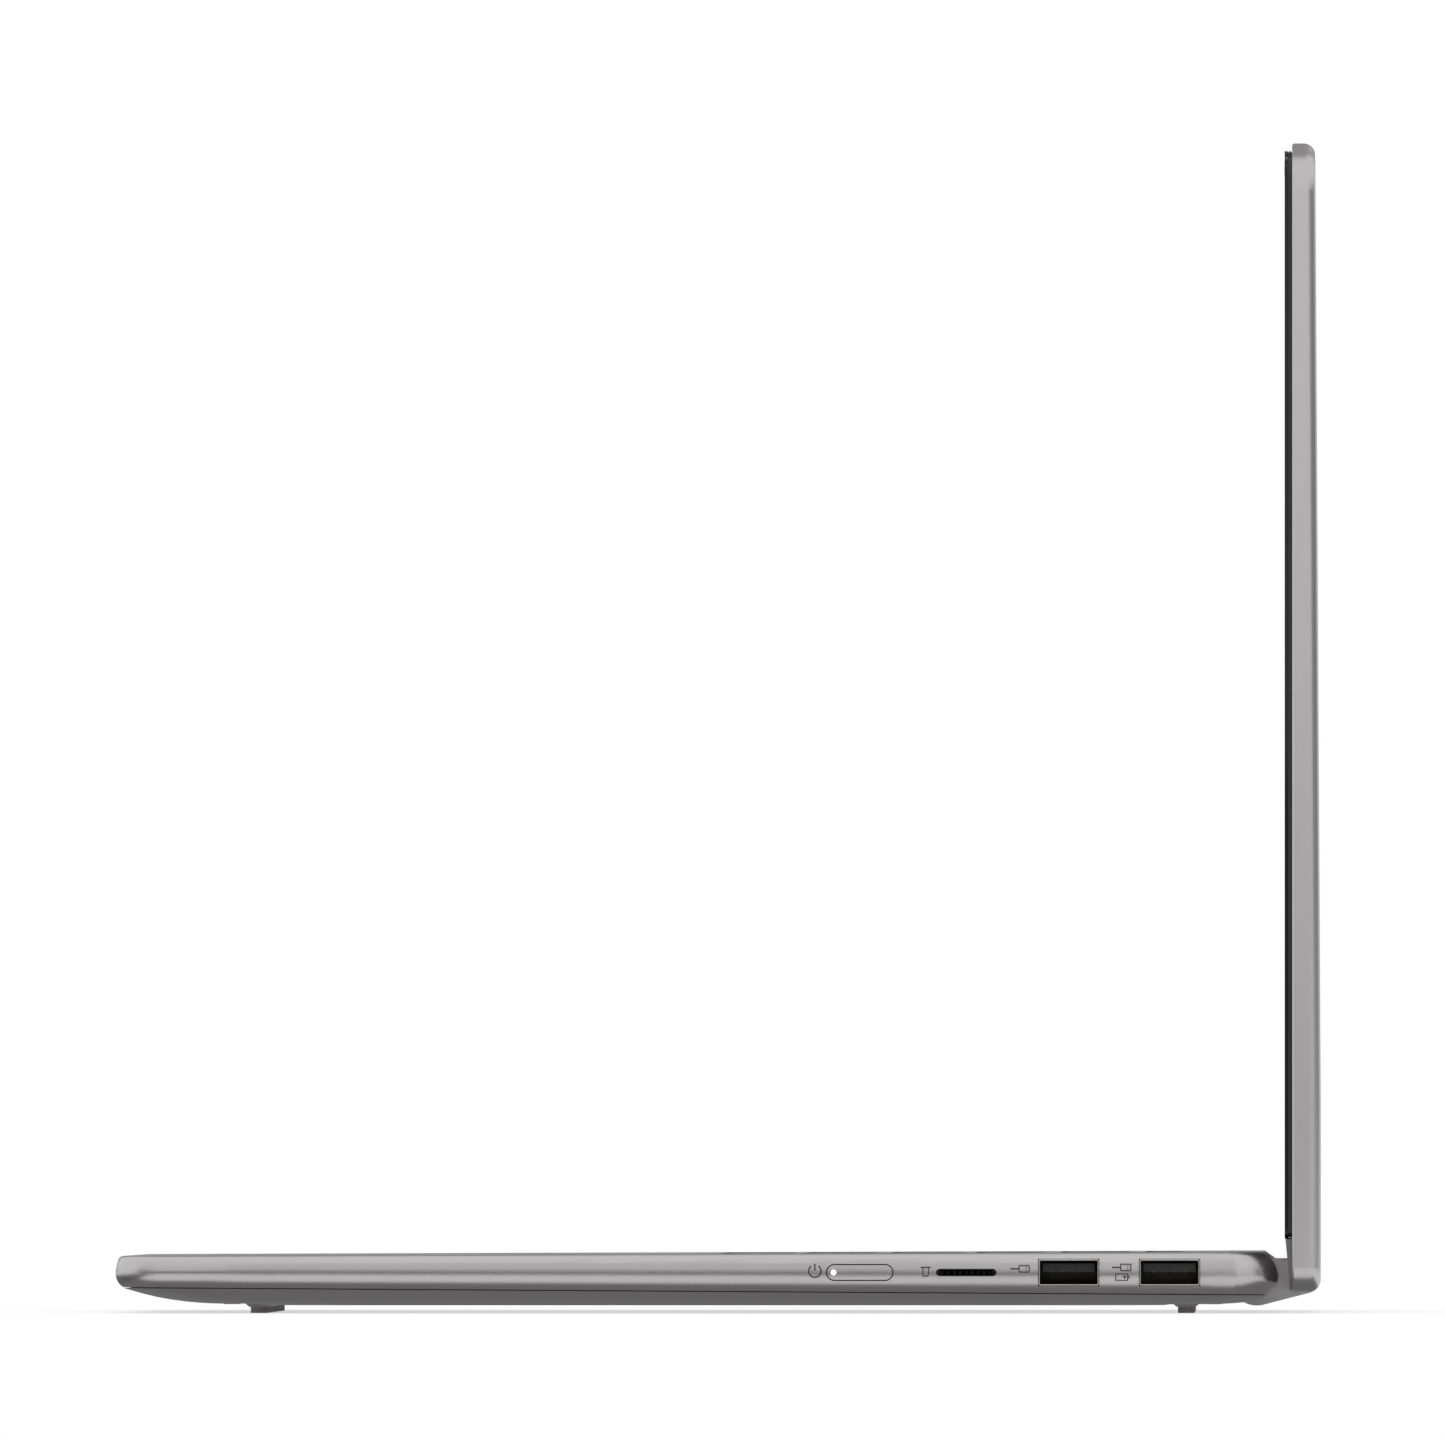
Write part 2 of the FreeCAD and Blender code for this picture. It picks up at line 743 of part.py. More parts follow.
def key_places():
    """For each row: its name and the X and Y limits of each key's place."""
    rows = []
    for index, (name, widths) in enumerate(key_rows):
        front = L.keys_front + index * S.row_pitch
        depth = S.function_pitch if index == 5 else S.row_pitch
        places = []
        start = 0
        for width in widths:
            places.append(((L.key_pitch * start - L.keys_half, L.key_pitch * (start + width) - L.keys_half),
                           (front, front + depth)))
            start += width
        if index == 0:
            middle = front + depth / 2
            half_key = S.key_space / 2 - S.key_window_gap * 2
            lower, upper = (front, middle + half_key), (middle - half_key, front + depth)
            for column, limits in ((0, lower), (1, lower), (1, upper), (2, lower)):
                left = L.key_pitch * (arrow_start + column) - L.keys_half
                places.append(((left, left + L.key_pitch), limits))
        rows.append((name, places))
    return rows


def key_cap(name, x, y, top):
    """A key cap that narrows towards its top, with rounded corners."""
    x, y = widen(x, -S.key_space / 2), widen(y, -S.key_space / 2)
    cap = doc.addObject("Part::Wedge", name + "_form")
    cap.Placement = Placement(Vector(), Rotation(Vector(1, 0, 0), 90))
    limits = {"Xmin": x[0], "Xmax": x[1], "Zmin": -y[1], "Zmax": -y[0],
              "Ymin": top - S.key_height, "Ymax": top}
    for side, move in (("min", S.key_taper), ("max", -S.key_taper)):
        limits["X2" + side] = limits["X" + side] + move
        limits["Z2" + side] = limits["Z" + side] + move
    for path, amount in limits.items():
        bind(cap, path, amount)
    return dress("Part::Fillet", name, cap, edges_along["y"], S.key_round)


def keyboard():
    for name, places in key_places():
        caps = [key_cap(f"{name}_{i}", x, y, deck_at(places[0][1][0]) - S.key_sink)
                for i, (x, y) in enumerate(places)]
        node(name, group(name, caps))


def key_windows():
    """Openings in the deck, one round each key."""
    windows = []
    for name, places in key_places():
        for i, (x, y) in enumerate(places):
            margin = S.key_window_gap - S.key_space / 2
            box = block(f"{name}_window_{i}_box", widen(x, margin), widen(y, margin),
                        (L.plate_top, S.deck_rear + 1))
            windows.append(rounded(f"{name}_window_{i}", box, "z", S.key_round + S.key_window_gap))
    return windows


def standoff_spots():
    """Where the main board hangs from the keyboard plate."""
    back, fore = L.keys_rear - 9, L.keys_front + 14
    return [(-L.keys_half + 5, fore), (-L.keys_half + 5, back), (-S.fan_offset - S.fan_width + 8, back),
            (0, fore), (L.fan_out + 12, back), (L.keys_half - 6, fore), (L.keys_half - 6, back)]


def keyboard_plate():
    edge = S.notch_wall
    plate = block("plate_sheet", widen((-L.keys_half, L.keys_half), edge),
                  widen((L.keys_front, L.keys_rear), edge), (L.plate_bottom, L.plate_top))
    posts = [rod(f"standoff_{i}", "z", spot, 2 * S.screw_radius + 0.6, L.board_top, L.plate_bottom + 0.1)
             for i, spot in enumerate(standoff_spots())]
    holes = [screw_hole(f"standoff_hole_{i}", spot, L.board_top - 1, L.board_top + 1.8)
             for i, spot in enumerate(standoff_spots())]
    node("keyboard_plate", cut("keyboard_plate", fuse("plate_form", [plate] + posts), holes))


def key_frame():
    """The wall under the deck that the keyboard plate is fastened to."""
    height = (L.plate_top, L.deck_at_keys - S.deck_wall / 2)
    edge = S.notch_wall
    outer = block("key_frame_outer", widen((-L.keys_half, L.keys_half), edge),
                  widen((L.keys_front, L.keys_rear), edge), height)
    inner = block("key_frame_inner", (-L.keys_half, L.keys_half), (L.keys_front, L.keys_rear),
                  widen(height, 1))
    return cut("key_frame", outer, [inner])


# Touchpad
touchpad_round = 4.0
derive("pad_bottom", deck_at(L.pad_front) - S.key_sink / 2 - S.touchpad_thickness)


def touchpad():
    gap = S.touchpad_gap
    plate = block("touchpad_form", widen((-L.pad_half, L.pad_half), -gap),
                  widen((L.pad_front, L.pad_rear), -gap),
                  (L.pad_bottom, L.pad_bottom + S.touchpad_thickness), sloped=True)
    node("touchpad", rounded("touchpad", plate, "z", touchpad_round))
    edge = 6
    low = L.pad_bottom - S.click_room - S.bracket_sheet
    sheet = block("touchpad_sheet", widen((-L.pad_half, L.pad_half), edge),
                  widen((L.pad_front, L.pad_rear), edge), (low, low + S.bracket_sheet), sloped=True)
    top = low + S.bracket_sheet
    rise = (L.pad_rear - L.pad_front) * L.deck_slope
    rib = block("touchpad_rib", widen((-L.pad_half, L.pad_half), -edge), (L.pad_rear - 4, L.pad_rear - 1),
                (top, L.pad_bottom + rise - S.inner_gap))
    posts = []
    for side in (-1, 1):
        for y in (L.pad_front - edge / 2, L.pad_rear + edge / 2):
            posts.append(rod("touchpad_post", "z", (side * (L.pad_half + edge / 2), y), 2, top - 0.1,
                             deck_at(y) - S.deck_wall - S.shaft_clearance))
    node("touchpad_bracket", fuse("touchpad_bracket", [sheet, rib] + posts))


def touchpad_window():
    box = block("touchpad_window_box", (-L.pad_half, L.pad_half), (L.pad_front, L.pad_rear),
                (L.plate_top, S.deck_rear + 1))
    return rounded("touchpad_window", box, "z", touchpad_round + S.touchpad_gap)


# Sockets and the power button, on the right side unless said otherwise
derive("socket_end", L.half_width - 0.35)
derive("usb_in", L.socket_end - S.usb_length)
derive("button_in", L.cavity_half - 1.4)
derive("button_y", L.rear - S.button_from_rear)
derive("lamp_y", L.button_y - S.button_width / 2 + S.button_rise / 2 - 0.2)
usb_c_width, usb_c_rise, usb_c_length = 8.94, 3.26, 7.5
hdmi_width, hdmi_rise, hdmi_length = 15.0, 5.5, 12.0
collar_radius = 2.5


def usb_a_sockets():
    tongues = []
    for name, distance in (("front", S.usb_front_from_rear), ("rear", S.usb_rear_from_rear)):
        y = from_rear(distance)
        box = block(f"usb_a_{name}_box", (L.usb_in, L.socket_end), span(y, S.usb_width),
                    span(S.port_height, S.usb_rise))
        inner = block(f"usb_a_{name}_inner", (L.usb_in + S.usb_wall, far),
                      span(y, S.usb_width - 2 * S.usb_wall),
                      span(S.port_height, S.usb_rise - 2 * S.usb_wall))
        shell = cut(f"usb_a_shell_{name}", rounded(f"usb_a_{name}_form", box, "x", S.usb_wall), [inner])
        node(f"usb_a_shell_{name}", shell)
        tongues.append(block(f"usb_a_tongue_{name}", (L.usb_in + S.usb_wall, L.half_width - 2.2),
                             span(y, S.usb_width - 1.8), (S.port_height + 0.15, S.port_height + 1.95)))
    node("usb_a_tongues", group("usb_a_tongues", tongues))


def card_socket():
    y = from_rear(S.card_from_rear)
    end = L.cavity_half - S.inner_gap
    box = block("card_box", (end - S.card_length, end), span(y, S.card_width + 1.4),
                (L.board_top, S.port_height + 1.5))
    slot = block("card_room", (end - S.card_length + 2, far), span(y, S.card_width - 1.8),
                 span(S.port_height, S.card_rise - 0.4))
    node("card_slot", cut("card_slot", box, [slot]))


def power_button():
    width = span(L.button_y, S.button_width)
    rise = span(S.port_height, S.button_rise)
    cap = obround("button_cap", width, rise, (L.button_in, L.half_width - 0.15))
    flange = block("button_flange", (L.button_in, L.cavity_half - S.inner_gap),
                   widen(width, 1.3), widen(rise, 1))
    spot = (L.lamp_y, S.port_height)
    hole = rod("lamp_hole", "x", spot, S.lamp_radius + shaft_fit, L.half_width - 2.5, far)
    node("power_button", cut("power_button", fuse("button_form", [cap, flange]), [hole]))
    node("power_lamp", rod("power_lamp", "x", spot, S.lamp_radius, L.half_width - 2.5,
                           L.half_width - 0.15))
    reach = S.button_travel + 0.1
    node("power_switch", block("power_switch", (L.button_in - reach - 4, L.button_in - reach),
                               span(L.button_y, 6), (L.board_top, S.port_height + 1.2)))


def left_sockets():
    shells, tongues = [], []
    for name, distance in (("front", S.usb_c_front_from_rear), ("rear", S.usb_c_rear_from_rear)):
        y = from_rear(distance)
        length = (-L.socket_end, usb_c_length - L.socket_end)
        outer = obround(f"usb_c_{name}_outer", span(y, usb_c_width), span(S.port_height, usb_c_rise), length)
        inner = obround(f"usb_c_{name}_inner", span(y, usb_c_width - 0.6),
                        span(S.port_height, usb_c_rise - 0.6), (-far, length[1] - 0.5))
        shell = cut(f"usb_c_{name}_shell", outer, [inner])
        foot = block(f"usb_c_{name}_foot", (length[1] - 3, length[1]), span(y, 6),
                     (L.board_top, S.port_height - usb_c_rise / 2 + 0.1))
        shells.append(fuse(f"usb_c_{name}", [shell, foot]))
        tongues.append(block(f"usb_c_{name}_tongue", (length[0] + 1, length[1] - 0.5), span(y, 6.7),
                             span(S.port_height, 0.7)))
    node("usb_c_shells", group("usb_c_shells", shells))
    node("usb_c_tongues", group("usb_c_tongues", tongues))
    y = from_rear(S.hdmi_from_rear)
    length = (-L.socket_end, hdmi_length - L.socket_end)
    box = block("hdmi_box", length, span(y, hdmi_width), span(S.port_height, hdmi_rise))
    room = block("hdmi_room", (-far, length[1] - 0.5), span(y, hdmi_width - 0.8),
                 span(S.port_height, hdmi_rise - 0.8))
    tongue = block("hdmi_tongue", (length[0] + 1, length[1] - 0.3), span(y, 11),
                   span(S.port_height + 0.3, 1.3))
    node("hdmi_port", fuse("hdmi_port", [cut("hdmi_shell", box, [room]), tongue]))
    y = from_rear(S.jack_from_rear)
    jack = block("jack_box", (-L.cavity_half + S.inner_gap, 14 - L.half_width), span(y, 6.4),
                 (L.board_top, S.port_height + 2.6))
    collar = rod("jack_collar", "x", (y, S.port_height), collar_radius, -L.socket_end, 5 - L.half_width)
    bore = rod("jack_bore", "x", (y, S.port_height), S.jack_radius, -far, 12.5 - L.half_width)
    node("audio_jack", cut("audio_jack", fuse("jack_form", [jack, collar]), [bore]))


def socket_openings():
    """Holes through the side walls of the top case."""
    gap = S.port_clearance
    right, left = (L.cavity_half - 1, far), (-far, 1 - L.cavity_half)
    holes = []
    for i, distance in enumerate((S.usb_front_from_rear, S.usb_rear_from_rear)):
        holes.append(block(f"usb_a_hole_{i}", right, widen(span(from_rear(distance), S.usb_width), gap),
                           widen(span(S.port_height, S.usb_rise), gap)))
    holes.append(obround("card_hole", span(from_rear(S.card_from_rear), S.card_width),
                         span(S.port_height, S.card_rise), right))
    holes.append(obround("button_hole", widen(span(L.button_y, S.button_width), S.button_gap),
                         widen(span(S.port_height, S.button_rise), S.button_gap), right))
    for i, distance in enumerate((S.usb_c_front_from_rear, S.usb_c_rear_from_rear)):
        holes.append(obround(f"usb_c_hole_{i}", widen(span(from_rear(distance), usb_c_width), gap),
                             widen(span(S.port_height, usb_c_rise), gap), left))
    holes.append(block("hdmi_hole", left, widen(span(from_rear(S.hdmi_from_rear), hdmi_width), gap),
                       widen(span(S.port_height, hdmi_rise), gap)))
    holes.append(rod("jack_hole", "x", (from_rear(S.jack_from_rear), S.port_height), collar_radius + gap,
                     *left))
    return holes


# Boards, cooling, battery and speakers
fan_y = L.fan_front + S.fan_width / 2
blade_count = 15
slot_count = 12


def board_posts():
    """Where the socket board is screwed to the top case."""
    x = L.half_width - 10
    sockets = (S.card_from_rear, S.usb_front_from_rear, S.usb_rear_from_rear)
    return [(x, from_rear((first + second) / 2)) for first, second in zip(sockets, sockets[1:])]


def boards():
    height = (S.board_height, L.board_top)
    sheet = block("main_board_sheet", (5 - L.half_width, L.keys_half + 1),
                  (L.keys_front + 8, L.fan_rear - 4), height)
    room = block("fan_room", widen((L.fan_in, L.fan_out), 0.5), (L.fan_front - 0.5, far), widen(height, 1))
    holes = [rod(f"main_board_hole_{i}", "z", spot, S.screw_radius + 0.2, *widen(height, 1))
             for i, spot in enumerate(standoff_spots())]
    node("main_board", cut("main_board", sheet, [both_sides("fan_rooms", room)] + holes))
    sheet = block("io_board_sheet", (L.keys_half + 3.5, L.half_width - 5),
                  (L.button_y - 12, L.rear - 17.5), height)
    holes = [rod(f"io_board_hole_{i}", "z", spot, S.screw_radius + 0.2, *widen(height, 1))
             for i, spot in enumerate(board_posts())]
    node("io_board", cut("io_board", sheet, holes))
    screws = [screw(f"board_screw_{i}", spot, S.board_height, S.screw_head_rise, L.board_top + 1.6)
              for i, spot in enumerate(standoff_spots() + board_posts())]
    node("board_screws", group("board_screws", screws))
    left, right, start = S.card_margin - L.keys_half, L.keys_half - S.wifi_margin, L.keys_front + 10
    node("ssd_card", block("ssd_card", (left, left + S.ssd_length), (start, start + S.ssd_width),
                           (L.board_top, L.board_top + S.ssd_rise)))
    node("wifi_card", block("wifi_card", (right - S.wifi_width, right), (start, start + S.wifi_length),
                            (L.board_top, L.board_top + S.wifi_rise)))


def cooling():
    die = span(0, 34), span(fan_y - 8, 30)
    top = L.board_top + S.processor_rise
    node("processor", block("processor", *die, (L.board_top, top)))
    fins = (L.fan_rear + 1.5, L.fan_rear + 1.5 + S.fin_depth)
    spreader = block("spreader", *die, (top, top + S.spreader_rise))
    link = block("pipe_link", span(0, 10), (fan_y, fins[1] - 2), (top, L.cooler_top))
    pipe_end = L.bracket_in - S.pipe_hinge_gap
    pipe = block("pipe", (-pipe_end, pipe_end), widen(fins, -0.5), (top, L.cooler_top))
    round_pipe = rounded("pipe_round", pipe, "x", (L.cooler_top - top) * 0.4)
    node("heat_pipe", fuse("heat_pipe", [spreader, link, round_pipe]))
    stack = block("fin_stack", (L.fan_in, L.fan_out), fins, (L.floor + 1, top))
    step = (S.fan_width - 1) / slot_count
    gaps = [block(f"fin_gap_{i}", (L.fan_in + 1 + step * i, L.fan_in + step * (i + 1)), widen(fins, 1),
                  (L.floor + 1.5, top - 0.4)) for i in range(slot_count)]
    node("heat_fins", both_sides("heat_fins", cut("fin_side", stack, gaps)))


def fans():
    low, high = L.fan_low + S.fan_wall, L.cooler_top - S.fan_wall
    box = block("fan_box", (L.fan_in, L.fan_out), (L.fan_front, L.fan_rear), (L.fan_low, L.cooler_top))
    room = block("fan_inside", widen((L.fan_in, L.fan_out), -S.fan_wall), (L.fan_front + S.fan_wall, far),
                 (low, high))
    centre = (S.fan_offset, fan_y)
    inlet = rod("fan_inlet", "z", centre, S.rotor_radius - 5, L.fan_low - 1, low + 1)
    tools = fuse("fan_hollow", [rounded("fan_room_form", room, "z", 8), inlet])
    pin = rod("fan_pin", "z", centre, S.pin_radius, low + 1.5, high + 0.1)
    right = fuse("fan_housing_right", [cut("fan_shell", box, [tools]), pin])
    node("fan_housing_right", right)
    node("fan_housing_left", mirrored("fan_housing_left", right))
    low, high = low + S.fan_gap, high - S.fan_gap
    hub = rod("fan_hub", "z", centre, S.hub_radius, low, high)
    blades = []
    reach = S.rotor_radius - S.hub_radius + 1
    for i in range(blade_count):
        angle = 360 / blade_count * i
        away = Vector(math.cos(math.radians(angle)), math.sin(math.radians(angle)), 0)
        blade = doc.addObject("Part::Box", f"fan_blade_{i}")
        blade.Placement = Placement(Vector(), Rotation(Vector(0, 0, 1), angle + 25))
        bind(blade, "Length", reach * 0.9)
        bind(blade, "Width", 0.7)
        bind(blade, "Height", high - low - 0.6)
        bind(blade, "Placement.Base.x", S.fan_offset + (S.hub_radius - 1) * away.x)
        bind(blade, "Placement.Base.y", fan_y + (S.hub_radius - 1) * away.y)
        bind(blade, "Placement.Base.z", low)
        blades.append(blade)
    bore = rod("fan_bore", "z", centre, S.pin_radius + S.shaft_clearance, low + 0.85, far)
    right = cut("fan_rotor_right", fuse("fan_rotor_form", [hub] + blades), [bore])
    node("fan_rotor_right", right)
    node("fan_rotor_left", mirrored("fan_rotor_left", right))


def battery():
    low = L.floor + S.inner_gap + 0.15
    depth = (L.front + S.battery_front_inset, L.keys_front - S.battery_key_gap)
    half = S.battery_width / 2
    tray = block("battery_box", (-half, half), depth, (low, low + S.battery_rise))
    step = (S.battery_width - S.battery_wall) / 4
    pockets, cells = [], []
    for i in range(4):
        width = (step * i + S.battery_wall - half, step * (i + 1) - half)
        pockets.append(block(f"cell_room_{i}", width, widen(depth, -S.battery_wall),
                             (low + S.battery_wall, low + S.battery_rise + 1)))
        form = block(f"cell_form_{i}", widen(width, -0.1), widen(depth, -S.battery_wall - 0.1),
                     (low + S.battery_wall, low + S.battery_rise - 0.2))
        cells.append(rounded(f"cell_{i}", form, "y", 1.2))
    node("battery_tray", cut("battery_tray", tray, pockets))
    node("battery_cells", group("battery_cells", cells))


def speakers():
    y = (L.keys_front + 2, L.keys_rear - 2)
    form = block("speaker_form", (L.speaker_in, L.speaker_out), y,
                 (L.board_top, deck_at(y[0]) - S.deck_wall - 2 * S.shaft_clearance))
    right = rounded("speaker_right", form, "z", 2)
    node("speaker_right", right)
    node("speaker_left", mirrored("speaker_left", right))


def grilles():
    """Slots in the deck over the speakers."""
    middle = (L.speaker_in + L.speaker_out) / 2
    slots = []
    for i in range(5):
        box = block(f"grille_box_{i}", span(middle + (i - 2) * S.grille_pitch, S.grille_slot),
                    (L.keys_front + 4, L.keys_rear - 4), (L.plate_top + 1.5, S.deck_rear + 1))
        slots.append(rounded(f"grille_{i}", box, "z", S.grille_slot / 2 * 0.999))
    return both_sides("grilles", group("grille_side", slots))


def vents():
    """Outlets through the rear wall, behind the fins."""
    step = (S.fan_width - 2) / slot_count
    slots = [block(f"vent_{i}", (L.fan_in + 2 + step * i, L.fan_in + step * (i + 1)),
                   (L.cavity_rear - 1, far), span(S.port_height - 1, 4.6)) for i in range(slot_count)]
    return both_sides("vents", group("vent_side", slots))


def intakes():
    """Slots in the bottom cover, under the fans."""
    slots = []
    for i in range(6):
        box = block(f"intake_box_{i}", span(S.fan_offset, 36), span(fan_y + (i - 2.5) * 5, 2),
                    (-1, L.fan_low))
        slots.append(rounded(f"intake_{i}", box, "z", 0.999))
    return both_sides("intakes", group("intake_side", slots))


# Base shells with everything that is cut into them or stands on them
def top_case():
    body = doc.addObject("PartDesign::Body", "case_room")
    outline = new_sketch(body, "case_room_outline", "XY_Plane", deck_at(0) - S.deck_wall, L.deck_slope)
    inner_round = S.corner_round - S.side_wall
    rounded_outline(outline, L.cavity_half, L.front + S.side_wall, L.cavity_rear, inner_round, inner_round)
    pad(body, "case_room_pad", outline, 30, backwards=True)
    room = cut("case_room_net", body, [hinge_notch("case_notch_walls", S.notch_wall)])
    shell = cut("case_hollow", case_shell(), [room])
    ceiling = L.deck_at_keys - S.deck_wall / 2
    posts = [rod(f"boss_{i}", "z", spot, S.boss_radius, L.boss_low, deck_at(spot[1]) - S.deck_wall / 2)
             for i, spot in enumerate(cover_screw_spots())]
    posts += [rod(f"io_post_{i}", "z", spot, S.boss_radius - 0.8, L.board_top, ceiling)
              for i, spot in enumerate(board_posts())]
    mounts = [rod(f"bracket_post_{i}", "z", spot, S.boss_radius - 0.4, L.arm_high, ceiling)
              for i, spot in enumerate(bracket_spots())]
    posts += mounts + [mirrored(f"bracket_post_{i}_left", post) for i, post in enumerate(mounts)]
    solid = fuse("case_ribbed", [shell, key_frame()] + posts)
    holes = [screw_hole(f"boss_hole_{i}", spot, L.boss_low - 1, L.screw_tip + 0.2)
             for i, spot in enumerate(cover_screw_spots())]
    holes += [screw_hole(f"io_post_hole_{i}", spot, L.board_top - 1, L.board_top + 1.8)
              for i, spot in enumerate(board_posts())]
    taps = [screw_hole(f"bracket_tap_{i}", spot, L.arm_high - 1, L.arm_high + 1.2)
            for i, spot in enumerate(bracket_spots())]
    holes += taps + [mirrored(f"bracket_tap_{i}_left", tap) for i, tap in enumerate(taps)]
    drilled = cut("case_drilled", solid, [hinge_notch("case_notch", 0)] + holes + socket_openings())
    roomy = cut("case_roomy", drilled, [base_hinge_room(), vents(), grilles(), touchpad_window()])
    node("top_case", cut("top_case", roomy, key_windows()))


def foot_spots():
    return (("front_foot", L.front + S.front_foot_inset), ("rear_foot", L.rear - S.rear_foot_inset))


def bottom_cover():
    inner = cut("cover_room_net", cover_form("cover_room", S.cover_wall),
                [hinge_notch("cover_notch_walls", S.notch_wall)])
    shell = cut("cover_hollow", cover_form("cover_outer", 0), [inner])
    half = L.half_width - S.foot_side_margin + 2
    top = S.belly_height + S.cover_wall / 2
    plinths = []
    for name, y in foot_spots():
        wide, narrow = span(y, S.plinth_width), span(y, S.foot_width + 0.6)
        plinths.append(prism(name + "_plinth", [(wide[0], top), (narrow[0], S.foot_height),
                                                (narrow[1], S.foot_height), (wide[1], top)], -half, half))
    pads = [rod(f"cover_pad_{i}", "z", spot, S.boss_radius + 0.6, top, L.boss_low - S.shaft_clearance)
            for i, spot in enumerate(cover_screw_spots())]
    solid = fuse("cover_solid", [shell] + plinths + pads)
    recesses = []
    for i, spot in enumerate(cover_screw_spots()):
        head = rod(f"cover_recess_{i}", "z", spot, S.screw_head_radius + 0.2, -1, L.screw_seat)
        shank = rod(f"cover_hole_{i}", "z", spot, S.screw_radius + 0.2, L.screw_seat - 1, L.boss_low + 1)
        recesses.append(fuse(f"cover_step_{i}", [head, shank]))
    tools = [hinge_notch("cover_notch", 0), intakes()] + recesses
    node("bottom_cover", cut("bottom_cover", solid, tools))


def feet():
    half = L.half_width - S.foot_side_margin
    for name, y in foot_spots():
        strip = block(name + "_strip", (-half, half), span(y, S.foot_width), (0, S.foot_height))
        node(name, rounded(name, strip, "z", S.foot_width / 2 * 0.98))


def hinge_screws():
    screws = [screw(f"hinge_screw_{i}", spot, L.arm_low, S.screw_head_rise, L.arm_high + 1)
              for i, spot in enumerate(bracket_spots())]
    node("hinge_screws", both_sides("hinge_screws", group("hinge_screw_side", screws)))


# Lid
derive("lid_room_low", L.notch_top + S.notch_wall)
derive("lid_room_back", L.lid_front + S.lid_cavity)
derive("panel_half", L.half_width - S.glass_margin - S.panel_margin)
derive("panel_bottom", S.glass_low + S.panel_low)
derive("panel_top", L.lid_high - S.glass_margin - S.panel_margin)
derive("camera_low", L.lid_high - 4.6)
derive("camera_high", L.lid_high + S.bump_height - 1.8)
bump_round = 3.0


def lid_plate(name, y, thickness, margin, low, low_round):
    """A plate with the lid's outline drawn in by a margin, raised in the middle of its top edge."""
    body = doc.addObject("PartDesign::Body", name + "_plate")
    top = L.lid_high - margin
    sketch = new_sketch(body, name + "_outline", "XZ_Plane", -y)
    rounded_outline(sketch, L.half_width - margin, low, top, low_round, S.lid_round - margin)
    pad(body, name + "_pad", sketch, thickness, backwards=True)
    sketch = new_sketch(body, name + "_bump_outline", "XZ_Plane", -y)
    head = S.bump_width / 2 - margin
    foot = head + S.bump_slope
    polygon(sketch, [(-foot, top), (-foot, top - 2), (foot, top - 2), (foot, top),
                     (head, top + S.bump_height), (-head, top + S.bump_height)])
    pad(body, name + "_bump", sketch, thickness, backwards=True)
    corners = [(side * x.value, z.value) for side in (-1, 1)
               for x, z in ((head, top + S.bump_height), (foot, top))]
    edges = edges_at(body, Vector(0, 1, 0), corners)
    return dress("Part::Fillet", name + "_form", body, edges, bump_round)


def lid_notches(name):
    box = block(name, (L.hinge_in, L.hinge_out), (-far, far), (-far, L.notch_top))
    return both_sides(name + "_pair", box)


def lid_hinge_room():
    axis = (L.lid_axis_y, S.hinge_height)
    room = L.lid_knuckle_radius + S.hinge_side_gap / 2
    ends = (L.bracket_in - S.inner_gap, L.hinge_in - S.notch_wall)
    bore = rod("lid_knuckle_room", "x", axis, room, *ends)
    way_in = block("lid_knuckle_way", ends, (L.lid_front - 1, L.lid_axis_y + room),
                   (S.hinge_height, L.lid_room_low + 1))
    hole = rod("lid_shaft_hole", "x", axis, S.lid_shaft_radius + 3 * S.shaft_clearance, ends[0],
               L.hinge_in + 1)
    return both_sides("lid_hinge_rooms", fuse("lid_hinge_room", [bore, way_in, hole]))


def lid_cover():
    plate = lid_plate("lid", L.lid_front, S.lid_thickness, as_size(0), L.lid_low, S.lid_tail_round)
    start, end = L.lid_low + 40, L.lid_high + S.bump_height + 1
    taper = prism("lid_taper_wedge", [(L.lid_back, start), (L.lid_back + 3, start), (L.lid_back + 3, end),
                                      (L.lid_back - S.lid_taper, end)], -far, as_size(far))
    tapered = cut("lid_tapered", plate, [taper])
    soft = dress("Part::Fillet", "lid_soft", tapered, rim_edges(tapered, Vector(0, 1, 0)), S.lid_edge_round)
    bevelled = dress("Part::Chamfer", "lid_bevelled", soft, rim_edges(soft, Vector(0, -1, 0)), 0.35)
    room = block("lid_room", widen((-L.panel_half, L.panel_half), 0.5), (L.lid_front - 1, L.lid_room_back),
                 (L.lid_room_low, L.panel_top + 0.6))
    pocket = block("camera_room", widen(span(0, S.camera_width), 4), (L.lid_front - 1, L.lid_front + 3),
                   (L.camera_low, L.camera_high))
    hollow = cut("lid_hollow", bevelled, [fuse("lid_rooms", [room, pocket])])
    notched = cut("lid_notched", hollow, [lid_notches("lid_notch")])
    node("lid_cover", cut("lid_cover", notched, [lid_hinge_room()]))


def lid_chin():
    half = L.half_width - S.glass_margin
    low, high = L.lid_low + S.inner_gap, S.glass_low - S.seam_gap / 2
    body = prism("chin_form", [(L.lid_front, low), (L.lid_front, high), (L.glass_front + 0.15, high),
                               (L.lid_front - S.chin_tip, low)], -half, half)
    corners = [(side * half.value, low.value) for side in (-1, 1)]
    soft = dress("Part::Fillet", "chin_soft", body, edges_at(body, Vector(0, 1, 0), corners),
                 S.lid_tail_round - S.glass_margin)
    node("lid_chin", cut("lid_chin", soft, [lid_notches("chin_notch")]))


